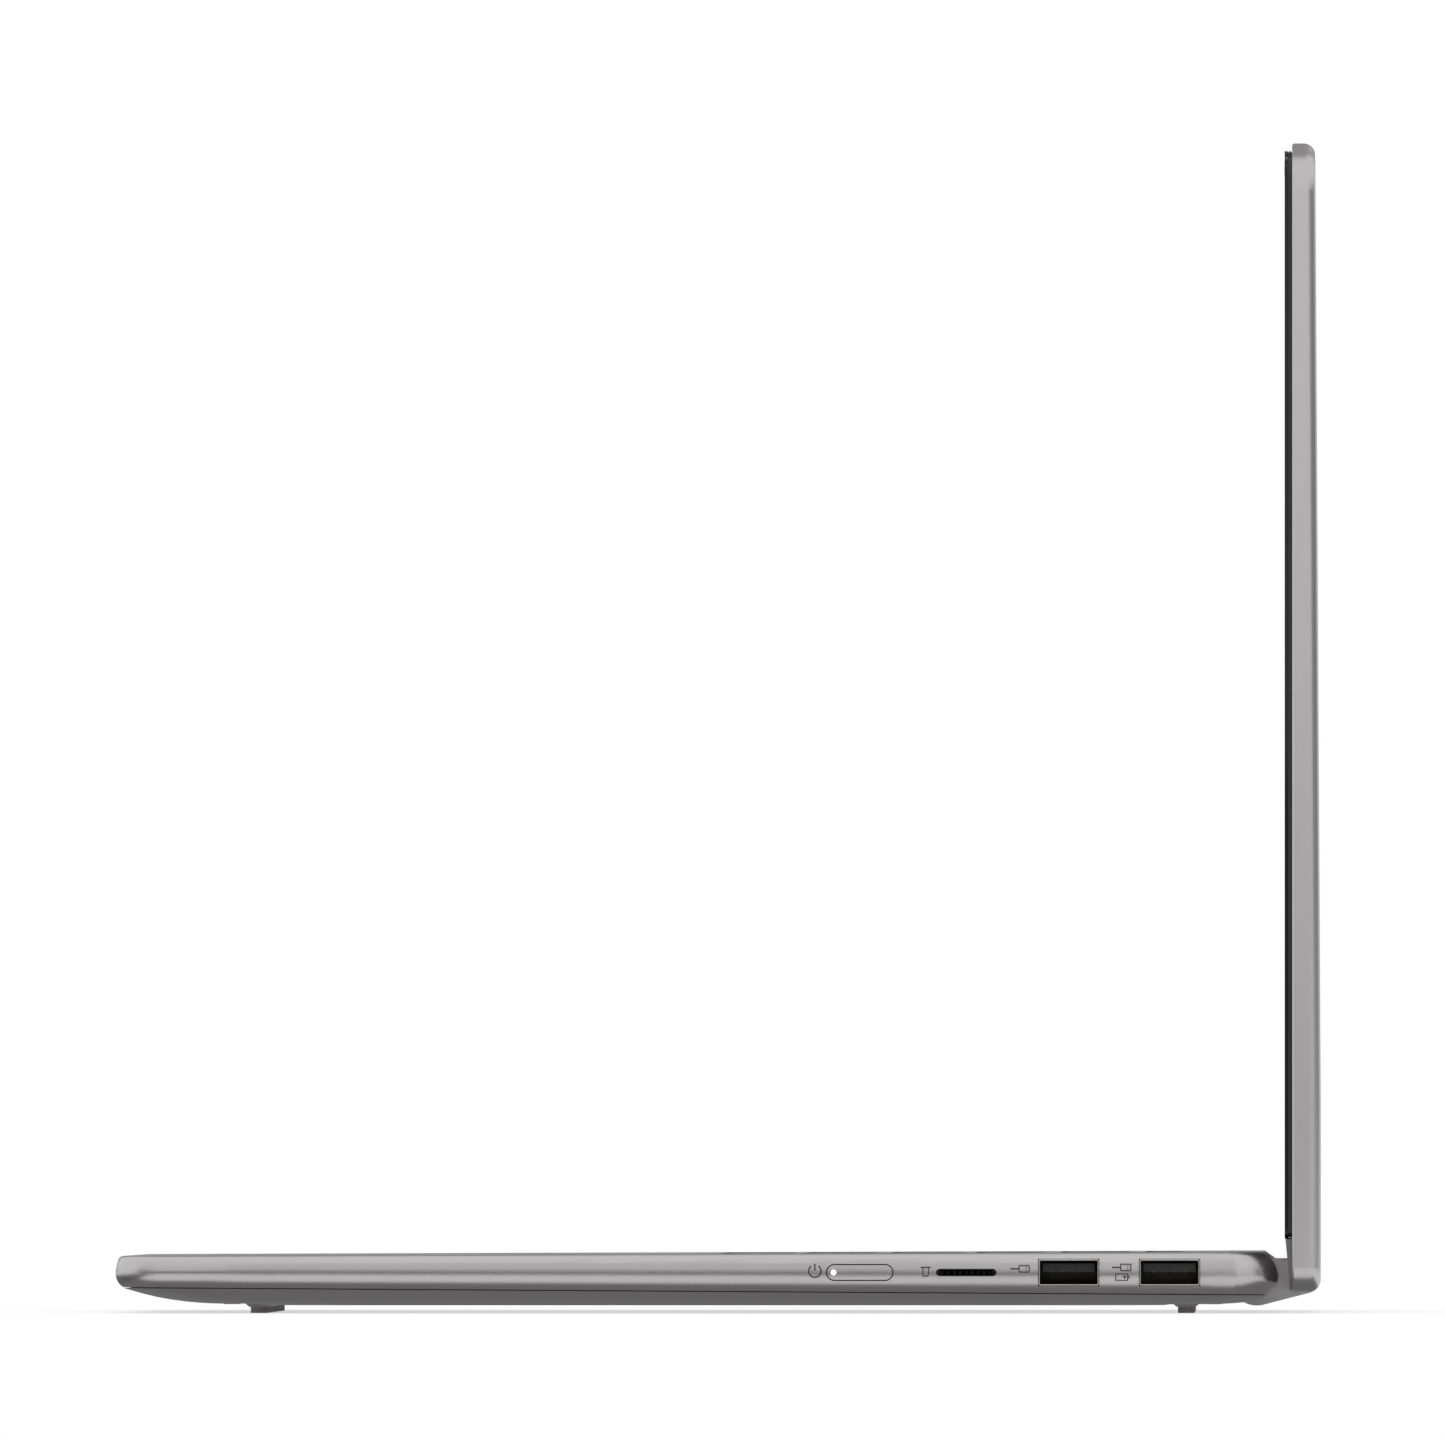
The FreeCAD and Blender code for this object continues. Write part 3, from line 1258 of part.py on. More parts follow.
def shutter_limits():
    """The shutter beside the lens: its X, Y and Z limits, and the X limits of its tab."""
    x = (S.lens_radius + 1, S.lens_radius + 1 + S.shutter_width)
    y = span(L.lid_front - S.frame_thickness / 2, S.frame_thickness - 2 * S.shutter_gap)
    return x, y, widen((L.camera_low, L.camera_high), -0.8), span((x[0] + x[1]) / 2, 3)


def screen():
    node("screen_glass", lid_plate("screen_glass", L.glass_front, S.glass_thickness, S.glass_margin,
                                   S.glass_low, 2))
    plate = lid_plate("screen_frame", L.lid_front - S.frame_thickness, S.frame_thickness,
                      S.glass_margin + 0.25, S.glass_low + 0.25, 2)
    x, y, z, tab = shutter_limits()
    window = block("frame_window", widen((-L.panel_half, L.panel_half), -1), (L.glass_front, L.lid_front + 1),
                   (L.panel_bottom + 1, L.panel_top - 1))
    gap = S.shutter_gap + 0.1
    way = block("shutter_way", (x[0] - S.shutter_travel - gap, x[1] + gap), (L.glass_front, L.lid_front + 1),
                widen(z, gap))
    tab_way = block("tab_way", (tab[0] - S.shutter_travel - gap, tab[1] + gap),
                    (L.glass_front, L.lid_front + 1), (z[1], z[1] + 5))
    node("screen_frame", cut("screen_frame", plate, [window, fuse("shutter_ways", [way, tab_way])]))
    node("display_panel", block("display_panel", (-L.panel_half, L.panel_half),
                                (L.lid_front, L.lid_front + S.panel_thickness),
                                (L.panel_bottom, L.panel_top)))


def camera():
    x, y, z, tab = shutter_limits()
    blade = block("shutter_blade", x, y, z)
    handle = block("shutter_tab", tab, y, (z[1] - 1, L.lid_high + S.bump_height - S.glass_margin + 0.6))
    node("camera_shutter", fuse("camera_shutter", [blade, handle]))
    box = block("camera_box", span(0, S.camera_width), (L.lid_front + S.inner_gap, L.lid_front + 3),
                widen((L.camera_low, L.camera_high), -0.5))
    middle = (L.camera_low + L.camera_high) / 2
    lens = rod("lens_recess", "y", (0, middle), S.lens_radius, 0, L.lid_front + 1.5)
    dots = [rod("dot_recess", "y", (12 * side, middle), 0.6, 0, L.lid_front + 1) for side in (-1, 1)]
    node("camera_module", cut("camera_module", box, [lens] + dots))


def lid_inside():
    axis = (L.lid_axis_y, S.hinge_height)
    depth = (L.lid_room_back - 1.2, L.lid_room_back)
    ends = (L.bracket_in, L.bracket_out)
    knuckle = rod("lid_knuckle", "x", axis, L.lid_knuckle_radius, *ends)
    neck = block("lid_neck", ends, depth, (S.hinge_height, L.lid_room_low + 5))
    inner_end = ends[0] - S.lid_bracket_reach
    plate = block("lid_bracket_plate", (inner_end, ends[1]), depth,
                  (L.lid_room_low + S.inner_gap, L.lid_room_low + 10))
    bore = rod("lid_knuckle_bore", "x", axis, S.lid_shaft_radius + shaft_fit, ends[0] - 1, far)
    bracket = cut("lid_bracket", fuse("lid_bracket_form", [knuckle, neck, plate]), [bore])
    node("lid_hinge_brackets", both_sides("lid_hinge_brackets", bracket))
    shaft = rod("lid_shaft", "x", axis, S.lid_shaft_radius, ends[0], L.hinge_out - 4)
    node("lid_hinge_shafts", both_sides("lid_hinge_shafts", shaft))
    height = (L.lid_room_low + 1, L.lid_room_low + 9)
    antenna = block("lid_antenna", (S.display_board_width / 2 + 5, inner_end - 5),
                    (L.lid_room_back - 1.6, L.lid_room_back), height)
    node("lid_antennas", both_sides("lid_antennas", antenna))
    node("display_board", block("display_board", span(0, S.display_board_width), depth, height))


for make in (top_case, bottom_cover, bottom_screws, feet, hinge_links, base_hinge, hinge_screws, keyboard,
             keyboard_plate, touchpad, usb_a_sockets, card_socket, power_button, left_sockets, boards,
             cooling, fans, battery, speakers, lid_cover, lid_chin, screen, camera, lid_inside):
    make()
doc.recompute()

for thing in doc.Objects:
    if "Invalid" in thing.State or "Error" in thing.State:
        raise RuntimeError(f"{thing.Label} did not build: {thing.State}")
os.makedirs("parts", exist_ok=True)
for node_name, thing in nodes.items():
    shape = thing.Shape
    if shape.isNull() or not shape.isValid():
        raise RuntimeError(f"{node_name} is not a valid shape")
    shape.exportStep(f"parts/{node_name}.step")
print(len(nodes), "sub-parts written")
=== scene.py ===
import math

import bmesh
import bpy
import numpy as np
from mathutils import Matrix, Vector


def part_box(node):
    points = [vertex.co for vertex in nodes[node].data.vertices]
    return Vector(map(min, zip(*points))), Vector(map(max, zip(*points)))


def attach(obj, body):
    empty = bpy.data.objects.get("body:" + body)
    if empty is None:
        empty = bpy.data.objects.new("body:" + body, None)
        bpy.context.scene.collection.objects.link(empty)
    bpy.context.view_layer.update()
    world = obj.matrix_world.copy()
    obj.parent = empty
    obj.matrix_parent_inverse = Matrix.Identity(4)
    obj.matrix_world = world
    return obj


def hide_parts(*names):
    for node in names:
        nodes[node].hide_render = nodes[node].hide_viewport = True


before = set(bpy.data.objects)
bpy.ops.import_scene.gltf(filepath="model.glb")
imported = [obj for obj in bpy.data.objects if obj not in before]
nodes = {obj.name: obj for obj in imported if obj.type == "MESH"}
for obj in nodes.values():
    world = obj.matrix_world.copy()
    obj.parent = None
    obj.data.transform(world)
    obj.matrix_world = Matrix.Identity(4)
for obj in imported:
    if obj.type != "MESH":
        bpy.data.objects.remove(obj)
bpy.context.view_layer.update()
scene = bpy.context.scene
mm = 0.001


# Finishes
def toLinear(hexText):  # an sRGB hex colour as linear red, green, blue and alpha
    channels = np.array([int(hexText[i:i + 2], 16) for i in (1, 3, 5)]) / 255
    linear = np.where(channels <= 0.04045, channels / 12.92, ((channels + 0.055) / 1.055) ** 2.4)
    return (*linear.tolist(), 1.0)


# One node with its settings, and a value or a link for each input
def addNode(tree, kind, inputs=None, **settings):
    node = tree.nodes.new(kind)
    for name, value in settings.items():
        setattr(node, name, value)
    for key, value in (inputs or {}).items():
        if isinstance(value, bpy.types.NodeSocket):
            tree.links.new(value, node.inputs[key])
        else:
            node.inputs[key].default_value = value
    return node


def emptyMaterial(name):
    material = bpy.data.materials.new(name)
    material.use_nodes = True
    material.node_tree.nodes.clear()
    return material, material.node_tree


# The base's side wall bows out between the seam and the deck. Its tilt is a power curve of its
# level, the share of the height between the two. The normals there follow that curve, so that the
# bands of light run straight along the wall. Each pair of limits is where they begin to follow it
# and where they follow it fully: how far out and how far along in metres, how squarely the wall
# faces sideways, and the level. The seam and the rise are heights at the middle of the length.
sideBow = {"seam": 4.8703, "seamSlope": -0.006329, "rise": 8.0601, "riseSlope": 0.009612,
           "middle": 0.42, "half": 0.36,
           "tilt": (0.3289, -0.1599, -0.3699, -0.1152, 0.5567, -0.0473),
           "limits": {"x": (0.1785, 0.1788), "y": (0.112, 0.1), "facing": (0.75, 0.88),
                      "level": (1.0, 0.86)}}


def bowedSide(tree):
    places = addNode(tree, "ShaderNodeTexCoord").outputs
    spot = addNode(tree, "ShaderNodeSeparateXYZ", {"Vector": places["Object"]}).outputs
    facing = addNode(tree, "ShaderNodeSeparateXYZ", {"Vector": places["Normal"]}).outputs["X"]
    found = {"x": spot["X"], "y": spot["Y"], "z": spot["Z"], "facing": facing,
             "tilt": sideBow["tilt"][0]}
    sums = [("seam", "MULTIPLY_ADD", "y", sideBow["seamSlope"], sideBow["seam"] * mm),
            ("rise", "MULTIPLY_ADD", "y", sideBow["riseSlope"], sideBow["rise"] * mm),
            ("above", "SUBTRACT", "z", "seam"),
            ("share", "DIVIDE", "above", "rise"),
            ("level", "MULTIPLY_ADD", "share", 1 / sideBow["half"],
             -sideBow["middle"] / sideBow["half"])]
    sums += [("tilt", "MULTIPLY_ADD", "tilt", "level", power) for power in sideBow["tilt"][1:]]
    sums += [("side", "SIGN", "x"), ("reach", "COSINE", "tilt"),
             ("out", "MULTIPLY", "reach", "side"), ("up", "SINE", "tilt")]
    for name, operation, *values in sums:
        inputs = {i: found.get(value, value) for i, value in enumerate(values)}
        found[name] = addNode(tree, "ShaderNodeMath", inputs, operation=operation).outputs[0]
    hold = 1.0
    for name, (none, full) in sideBow["limits"].items():
        size = addNode(tree, "ShaderNodeMath", {0: found[name]}, operation="ABSOLUTE").outputs[0]
        fade = addNode(tree, "ShaderNodeMapRange", {"Value": size, "From Min": none,
                                                    "From Max": full},
                       interpolation_type="SMOOTHSTEP").outputs["Result"]
        hold = addNode(tree, "ShaderNodeMath", {0: hold, 1: fade}, operation="MULTIPLY").outputs[0]
    bowed = addNode(tree, "ShaderNodeCombineXYZ", {"X": found["out"], "Z": found["up"]})
    mixed = addNode(tree, "ShaderNodeMix", {0: hold, 4: places["Normal"],
                                            5: bowed.outputs["Vector"]}, data_type="VECTOR")
    normal = addNode(tree, "ShaderNodeVectorTransform", {"Vector": mixed.outputs[1]},
                     vector_type="NORMAL", convert_from="OBJECT", convert_to="WORLD")
    return normal.outputs["Vector"]


# Two close tones drift over the surface in soft clouds. A finer noise, the grain, lifts the surface
# and moves the roughness between two values, so the gloss breaks up as on a real finish.
grainNoise = {"cloudDetail": 3.0, "grainDetail": 2.0, "low": 0.3, "high": 0.7}


def grainedFinish(name, tones, cloud, grain, roughness, lift, stretch=(1, 1, 1), normalOf=None,
                  **shading):
    material, tree = emptyMaterial(name)
    place = addNode(tree, "ShaderNodeTexCoord").outputs["Object"]
    turned = addNode(tree, "ShaderNodeMapping", {"Vector": place, "Scale": stretch})
    clouds = addNode(tree, "ShaderNodeTexNoise", {"Vector": turned.outputs["Vector"],
                                                  "Scale": 1 / (cloud * mm),
                                                  "Detail": grainNoise["cloudDetail"]})
    grains = addNode(tree, "ShaderNodeTexNoise", {"Vector": turned.outputs["Vector"],
                                                  "Scale": 1 / (grain * mm),
                                                  "Detail": grainNoise["grainDetail"]})
    tone = addNode(tree, "ShaderNodeMix", {0: clouds.outputs["Fac"], 6: toLinear(tones[0]),
                                           7: toLinear(tones[1])}, data_type="RGBA")
    gloss = addNode(tree, "ShaderNodeMapRange", {"Value": grains.outputs["Fac"],
                                                 "From Min": grainNoise["low"],
                                                 "From Max": grainNoise["high"],
                                                 "To Min": roughness[0], "To Max": roughness[1]})
    bump = addNode(tree, "ShaderNodeBump", {"Height": grains.outputs["Fac"], "Distance": lift * mm,
                                            "Strength": 1.0})
    if normalOf:
        tree.links.new(normalOf(tree), bump.inputs["Normal"])
    shader = addNode(tree, "ShaderNodeBsdfPrincipled", {"Base Color": tone.outputs[2],
                                                        "Roughness": gloss.outputs["Result"],
                                                        "Normal": bump.outputs["Normal"]})
    for socket, value in shading.items():
        shader.inputs[socket.replace("_", " ")].default_value = value
    addNode(tree, "ShaderNodeOutputMaterial", {"Surface": shader.outputs["BSDF"]})
    return material


# Anodised aluminium, bead-blasted: a silky grey that mirrors soft bands and no sharp image.
# The blast's 0.06 mm pits are drawn 0.3 mm wide, because finer ones would not show in the render.
caseMetal = grainedFinish("anodisedAluminiumBeadBlasted", ("#BCB9BB", "#C4C1C2"), cloud=45,
                          grain=0.3, roughness=(0.30, 0.36), lift=0.002, normalOf=bowedSide,
                          Metallic=1.0)
lidMetal = grainedFinish("anodisedAluminiumLidBlasted", ("#B9B6B8", "#C0BEBF"), cloud=60, grain=0.3,
                         roughness=(0.30, 0.36), lift=0.002, Metallic=1.0)
# Die-cast zinc with a satin lacquer: a little duller and rounder in its shine than the case.
hingeMetal = grainedFinish("zincCastSatinLacquered", ("#CCCACB", "#D3D1D2"), cloud=18, grain=0.35,
                           roughness=(0.34, 0.42), lift=0.003, Metallic=1.0)
# Glass-filled nylon, moulded and painted matte, with a faint sparkle: its flat charcoal is partly
# painted shade, for the shadow the inset chin sits in.
chinPaintAndShade = grainedFinish("nylonMattePaintAndShade", ("#565453", "#5D5B5A"), cloud=25, grain=0.3,
                          roughness=(0.5, 0.62), lift=0.003)
# Polycarbonate, moulded with a fine spark texture: the black frame behind the screen's glass.
bezelPlastic = grainedFinish("polycarbonateSparkTextured", ("#161616", "#1C1C1C"), cloud=20,
                             grain=0.4, roughness=(0.42, 0.55), lift=0.004)
# ABS with soft-touch paint: the keys, dark grey with almost no gloss.
keyPlastic = grainedFinish("absSoftTouchPainted", ("#525152", "#585757"), cloud=14, grain=0.25,
                           roughness=(0.52, 0.64), lift=0.003)
# Chemically etched glass over grey ink: as matte as the deck, but smoother and without its glints.
padGlass = grainedFinish("etchedGlassGreyBacked", ("#AFACAC", "#B4B2B1"), cloud=70, grain=0.3,
                         roughness=(0.32, 0.38), lift=0.0006, Metallic=0.85, Coat_Weight=0.1,
                         Coat_Roughness=0.3)
# Silicone rubber, moulded: a dull pale grey with a mealy surface, dark only in the base's shade.
footRubber = grainedFinish("siliconeRubberMoulded", ("#CCC9C8", "#D4D2D1"), cloud=9, grain=0.5,
                           roughness=(0.62, 0.78), lift=0.012)
# Nickel-plated steel, stamped and rolled: bright, with faint lines along the sheet.
socketSteel = grainedFinish("nickelPlatedSteelStamped", ("#B9B7B2", "#CFCDC9"), cloud=6, grain=0.4,
                            roughness=(0.2, 0.32), lift=0.002, stretch=(0.15, 1, 1), Metallic=1.0)
# Stainless steel: the sockets' shells, in a dark tone that is painted shade, so that their insides
# stay dark.
shellSteelPaintedShade = grainedFinish("stainlessSteelPaintedShade", ("#3A3939", "#454443"), cloud=6, grain=0.4,
                           roughness=(0.3, 0.42), lift=0.002, stretch=(0.15, 1, 1), Metallic=1.0)
# Steel plate, black-zinc coated: the keyboard's carrier, seen as shadow between the keys.
plateSteel = grainedFinish("steelPlateBlackZinc", ("#2B2A29", "#343332"), cloud=12, grain=0.5,
                           roughness=(0.4, 0.55), lift=0.004, Metallic=0.6)
# Liquid-crystal polymer, injection moulded: the sockets' black inserts, slightly silky.
socketPlastic = grainedFinish("crystalPolymerMoulded", ("#121212", "#1A1A1A"), cloud=5, grain=0.3,
                              roughness=(0.36, 0.5), lift=0.003)
# Gold plate over nickel, stamped: the contacts, with a small satin sparkle.
contactGold = grainedFinish("goldPlatedBronzeStamped", ("#D9B25A", "#E6C67A"), cloud=2, grain=0.3,
                            roughness=(0.18, 0.28), lift=0.001, Metallic=1.0)
# Epoxy moulding compound: black chip bodies, grainy and dull.
chipEpoxy = grainedFinish("epoxyCompoundMoulded", ("#1D1D1F", "#262628"), cloud=6, grain=0.35,
                          roughness=(0.5, 0.65), lift=0.004)
# Drawn copper, lightly tarnished: warm patches of brown over the bright tube.
pipeCopper = grainedFinish("copperDrawnTarnished", ("#A8613F", "#C98563"), cloud=16, grain=0.6,
                           roughness=(0.25, 0.42), lift=0.003, stretch=(0.3, 1, 1), Metallic=1.0)
# Stacked aluminium sheet: mill-bright fins with rolling lines.
finMetal = grainedFinish("aluminiumSheetRolled", ("#B8B9BB", "#C9CACC"), cloud=10, grain=0.5,
                         roughness=(0.25, 0.4), lift=0.003, stretch=(1, 0.2, 1), Metallic=1.0)
# Glass-filled plastic, moulded: the fans' housings and blades, a flat black.
fanPlastic = grainedFinish("glassFilledPlasticMoulded", ("#1B1C1D", "#242526"), cloud=8, grain=0.4,
                           roughness=(0.48, 0.6), lift=0.004)
# Polyester film, shrunk over the cells: black with a soft orange-peel shine.
cellFilm = grainedFinish("polyesterFilmShrunk", ("#161718", "#222325"), cloud=30, grain=3.5,
                         roughness=(0.22, 0.34), lift=0.05)
# Polypropylene, moulded: the speakers' boxes, with a waxy shine.
speakerPlastic = grainedFinish("polypropyleneMoulded", ("#202123", "#292A2C"), cloud=12, grain=0.5,
                               roughness=(0.38, 0.5), lift=0.005)
# Acrylic light guide, moulded and frosted: it glows a plain white.
lampAcrylic = grainedFinish("acrylicLightGuideFrosted", ("#F4F4F2", "#FFFFFF"), cloud=0.6,
                            grain=0.2, roughness=(0.3, 0.45), lift=0.001,
                            Emission_Color=toLinear("#FFFFFF"), Emission_Strength=0.7)
# Pad-printed ink: a matte dark grey, a little thin in places.
markInk = grainedFinish("epoxyInkPadPrinted", ("#2A2929", "#353434"), cloud=1.2, grain=0.25,
                        roughness=(0.5, 0.62), lift=0.001)
# Laser-etched paint: the pale light-leading letters of the keys.
legendPaint = grainedFinish("paintLaserEtched", ("#D4D3D0", "#E2E1DE"), cloud=1.5, grain=0.25,
                            roughness=(0.5, 0.6), lift=0.001)
# Optical acrylic over black: a deep lens with a violet coating at a glancing look.
lensAcrylic = grainedFinish("opticalAcrylicCoated", ("#07070B", "#10101C"), cloud=1.4, grain=0.5,
                            roughness=(0.04, 0.08), lift=0.0003, Coat_Weight=1.0,
                            Coat_Tint=toLinear("#C9B8FF"))

# Alkali glass, polished, black-printed behind: a mirror-smooth black plate with faint smears.
# The panel's field shows through a shade lighter than the printed border, told apart by the
# distance from the field's middle.
screenLook = {"border": "#050505", "field": "#0E0F12", "inset": 1.0, "smear": 35.0,
              "smearDetail": 4.0, "roughness": (0.03, 0.09), "ior": 1.51, "specular": 0.3}


def screenFinish(name, panelBox):
    material, tree = emptyMaterial(name)
    place = addNode(tree, "ShaderNodeTexCoord").outputs["Object"]
    middle, half = (panelBox[0] + panelBox[1]) / 2, (panelBox[1] - panelBox[0]) / 2
    spread = addNode(tree, "ShaderNodeVectorMath", {0: place, 1: middle}, operation="SUBTRACT")
    apart = addNode(tree, "ShaderNodeVectorMath", {0: spread.outputs["Vector"]},
                    operation="ABSOLUTE")
    parts = addNode(tree, "ShaderNodeSeparateXYZ", {"Vector": apart.outputs["Vector"]}).outputs
    inset = screenLook["inset"] * mm
    across = addNode(tree, "ShaderNodeMath", {0: parts["X"], 1: half.x - inset},
                     operation="LESS_THAN")
    upright = addNode(tree, "ShaderNodeMath", {0: parts["Z"], 1: half.z - inset},
                      operation="LESS_THAN")
    inside = addNode(tree, "ShaderNodeMath", {0: across.outputs[0], 1: upright.outputs[0]},
                     operation="MULTIPLY")
    tone = addNode(tree, "ShaderNodeMix", {0: inside.outputs[0], 6: toLinear(screenLook["border"]),
                                           7: toLinear(screenLook["field"])}, data_type="RGBA")
    smears = addNode(tree, "ShaderNodeTexNoise", {"Vector": place,
                                                  "Scale": 1 / (screenLook["smear"] * mm),
                                                  "Detail": screenLook["smearDetail"]})
    gloss = addNode(tree, "ShaderNodeMapRange", {"Value": smears.outputs["Fac"],
                                                 "To Min": screenLook["roughness"][0],
                                                 "To Max": screenLook["roughness"][1]})
    shader = addNode(tree, "ShaderNodeBsdfPrincipled", {
        "Base Color": tone.outputs[2], "Roughness": gloss.outputs["Result"],
        "IOR": screenLook["ior"], "Specular IOR Level": screenLook["specular"]})
    addNode(tree, "ShaderNodeOutputMaterial", {"Surface": shader.outputs["BSDF"]})
    return material


screenGlass = screenFinish("alkaliGlassPolishedBlackPrinted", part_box("display_panel"))

# Fibreglass board under solder mask, photo-etched: straight traces show as paler, raised lines,
# the edges of square-distance cells.
boardLook = {"mask": "#12261F", "trace": "#1F4034", "cell": 9.0, "scatter": 0.8, "line": 1.2,
             "gap": 0.7, "lift": 0.03, "strength": 0.8, "roughness": 0.35}


def boardFinish(name):
    material, tree = emptyMaterial(name)
    place = addNode(tree, "ShaderNodeTexCoord").outputs["Object"]
    cells = addNode(tree, "ShaderNodeTexVoronoi", {"Vector": place,
                                                   "Scale": 1 / (boardLook["cell"] * mm),
                                                   "Randomness": boardLook["scatter"]},
                    distance="CHEBYCHEV", feature="F1")
    waves = addNode(tree, "ShaderNodeMath", {0: cells.outputs["Distance"],
                                             1: boardLook["cell"] / boardLook["line"]},
                    operation="MULTIPLY")
    fold = addNode(tree, "ShaderNodeMath", {0: waves.outputs[0], 1: 1.0}, operation="PINGPONG")
    lines = addNode(tree, "ShaderNodeMath", {0: fold.outputs[0], 1: boardLook["gap"]},
                    operation="GREATER_THAN")
    tone = addNode(tree, "ShaderNodeMix", {0: lines.outputs[0], 6: toLinear(boardLook["mask"]),
                                           7: toLinear(boardLook["trace"])}, data_type="RGBA")
    bump = addNode(tree, "ShaderNodeBump", {"Height": lines.outputs[0],
                                            "Distance": boardLook["lift"] * mm,
                                            "Strength": boardLook["strength"]})
    shader = addNode(tree, "ShaderNodeBsdfPrincipled", {"Base Color": tone.outputs[2],
                                                        "Roughness": boardLook["roughness"],
                                                        "Normal": bump.outputs["Normal"]})
    addNode(tree, "ShaderNodeOutputMaterial", {"Surface": shader.outputs["BSDF"]})
    return material


boardMask = boardFinish("fibreglassSolderMasked")

finishOf = {
    caseMetal: ["top_case", "bottom_cover", "power_button"],
    lidMetal: ["lid_cover"],
    hingeMetal: ["hinge_link_left", "hinge_link_right", "base_hinge_brackets",
                 "lid_hinge_brackets"],
    chinPaintAndShade: ["lid_chin"],
    screenGlass: ["screen_glass"],
    bezelPlastic: ["screen_frame", "display_panel", "camera_module", "camera_shutter"],
    footRubber: ["front_foot", "rear_foot"],
    keyPlastic: ["keys_space_row", "keys_lower_row", "keys_home_row", "keys_upper_row",
                 "keys_number_row", "keys_function_row"],
    padGlass: ["touchpad"],
    shellSteelPaintedShade: ["usb_a_shell_front", "usb_a_shell_rear", "usb_c_shells"],
    socketSteel: ["base_hinge_shafts", "lid_hinge_shafts", "hinge_screws", "bottom_screws",
                  "board_screws", "touchpad_bracket", "battery_tray"],
    plateSteel: ["keyboard_plate"],
    socketPlastic: ["usb_a_tongues", "usb_c_tongues", "hdmi_port", "audio_jack", "card_slot",
                    "power_switch"],
    boardMask: ["main_board", "io_board", "ssd_card", "wifi_card", "display_board"],
    chipEpoxy: ["processor"],
    pipeCopper: ["heat_pipe", "lid_antennas"],
    finMetal: ["heat_fins"],
    fanPlastic: ["fan_housing_left", "fan_housing_right", "fan_rotor_left", "fan_rotor_right"],
    cellFilm: ["battery_cells"],
    speakerPlastic: ["speaker_left", "speaker_right"],
    lampAcrylic: ["power_lamp"],
}
for finish, names in finishOf.items():
    for name in names:
        nodes[name].data.materials.clear()
        nodes[name].data.materials.append(finish)
print("finishes:", sum(map(len, finishOf.values())), "nodes in", len(finishOf), "materials")


# Surfaces
# The quads of a grid of points, row by row; wrap joins the last column to the first
def gridFaces(rows, columns, wrap=False):
    row, column = np.meshgrid(np.arange(rows - 1), np.arange(columns if wrap else columns - 1),
                              indexing="ij")
    after = (column + 1) % columns
    here, above = row * columns, (row + 1) * columns
    return np.stack([here + column, here + after, above + after, above + column], -1).reshape(-1, 4)


# One mesh of several (points, faces) surfaces, riding on its body
def surfacePiece(name, parts, finish, body):
    points = np.concatenate([part[0] for part in parts])
    starts = np.cumsum([0] + [len(part[0]) for part in parts[:-1]])
    faces = [face for (_, quads), start in zip(parts, starts) for face in (quads + start).tolist()]
    mesh = bpy.data.meshes.new(name)
    mesh.from_pydata(points.tolist(), [], faces)
    shape = bmesh.new()
    shape.from_mesh(mesh)
    bmesh.ops.remove_doubles(shape, verts=shape.verts, dist=1e-7)
    shape.to_mesh(mesh)
    shape.free()
    mesh.polygons.foreach_set("use_smooth", np.ones(len(mesh.polygons), bool))
    mesh.materials.append(finish)
    piece = bpy.data.objects.new(name, mesh)
    scene.collection.objects.link(piece)
    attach(piece, body)
    return piece


# A rounded bar is a superellipsoid: the signed powers of the cosines and sines of two angles, times
# its half sizes. A small power gives flat sides and tight corners; a power of 1 is an ellipsoid.
def roundedBar(centre, half, power, rows=9, columns=20):
    up, around = np.meshgrid(np.linspace(-math.pi / 2, math.pi / 2, rows),
                             np.linspace(0, 2 * math.pi, columns, endpoint=False), indexing="ij")
    waves = (np.cos(up), np.sin(up), np.cos(around), np.sin(around))
    bend = [np.sign(wave) * np.abs(wave) ** power for wave in waves]
    unit = np.stack([bend[0] * bend[2], bend[0] * bend[3], bend[1]], -1).reshape(-1, 3)
    return (unit * np.array(half) + np.array(centre)) * mm, gridFaces(rows, columns, wrap=True)


# A turned form carries a profile of (radius, height, lobing) round an axis: each radius swells and
# shrinks six times a turn by its lobing, which is zero where the form is plainly round.
def turnedForm(profile, centre, along, columns=48):
    radius, height, lobing = (np.array(value)[:, None] for value in zip(*profile))
    angle = np.linspace(0, 2 * math.pi, columns, endpoint=False)[None, :]
    wide = radius * (1 + lobing * np.cos(6 * angle))
    flat = [wide * np.cos(angle), wide * np.sin(angle), height + 0 * angle]
    order = {"y": (1, 2, 0), "z": (0, 1, 2)}[along]
    points = np.stack([flat[i] for i in order], -1).reshape(-1, 3)
    return (points + np.array(centre)) * mm, gridFaces(len(profile), columns, wrap=True)


# A ribbon carries a straight stroke along a flat path: each point moves off the path by a share of
# the stroke's width, square to the path's direction there.
def ribbon(path, width, closed=False, across=3):
    path = np.array(path, float)
    if closed:
        path = np.concatenate([path, path[:1]])
    run = np.gradient(path, axis=0)
    if closed:
        run[[0, -1]] = run[0] + run[-1]
    run /= np.linalg.norm(run, axis=1, keepdims=True)
    square = np.stack([-run[:, 1], run[:, 0]], -1)
    share = np.linspace(0.5, -0.5, across)[None, :, None] * width
    points = path[:, None, :] + share * square[:, None, :]
    return points.reshape(-1, 2), gridFaces(len(path), across)


# The straight runs between corners, with points about a step apart
def evenly(corners, step=0.12, closed=False):
    corners = np.array(corners + corners[:1] if closed else corners, float)
    runs = [np.linspace(a, b, max(2, int(np.linalg.norm(b - a) / step)), endpoint=False)
            for a, b in zip(corners[:-1], corners[1:])]
    return np.concatenate(runs + ([] if closed else [corners[-1:]]))


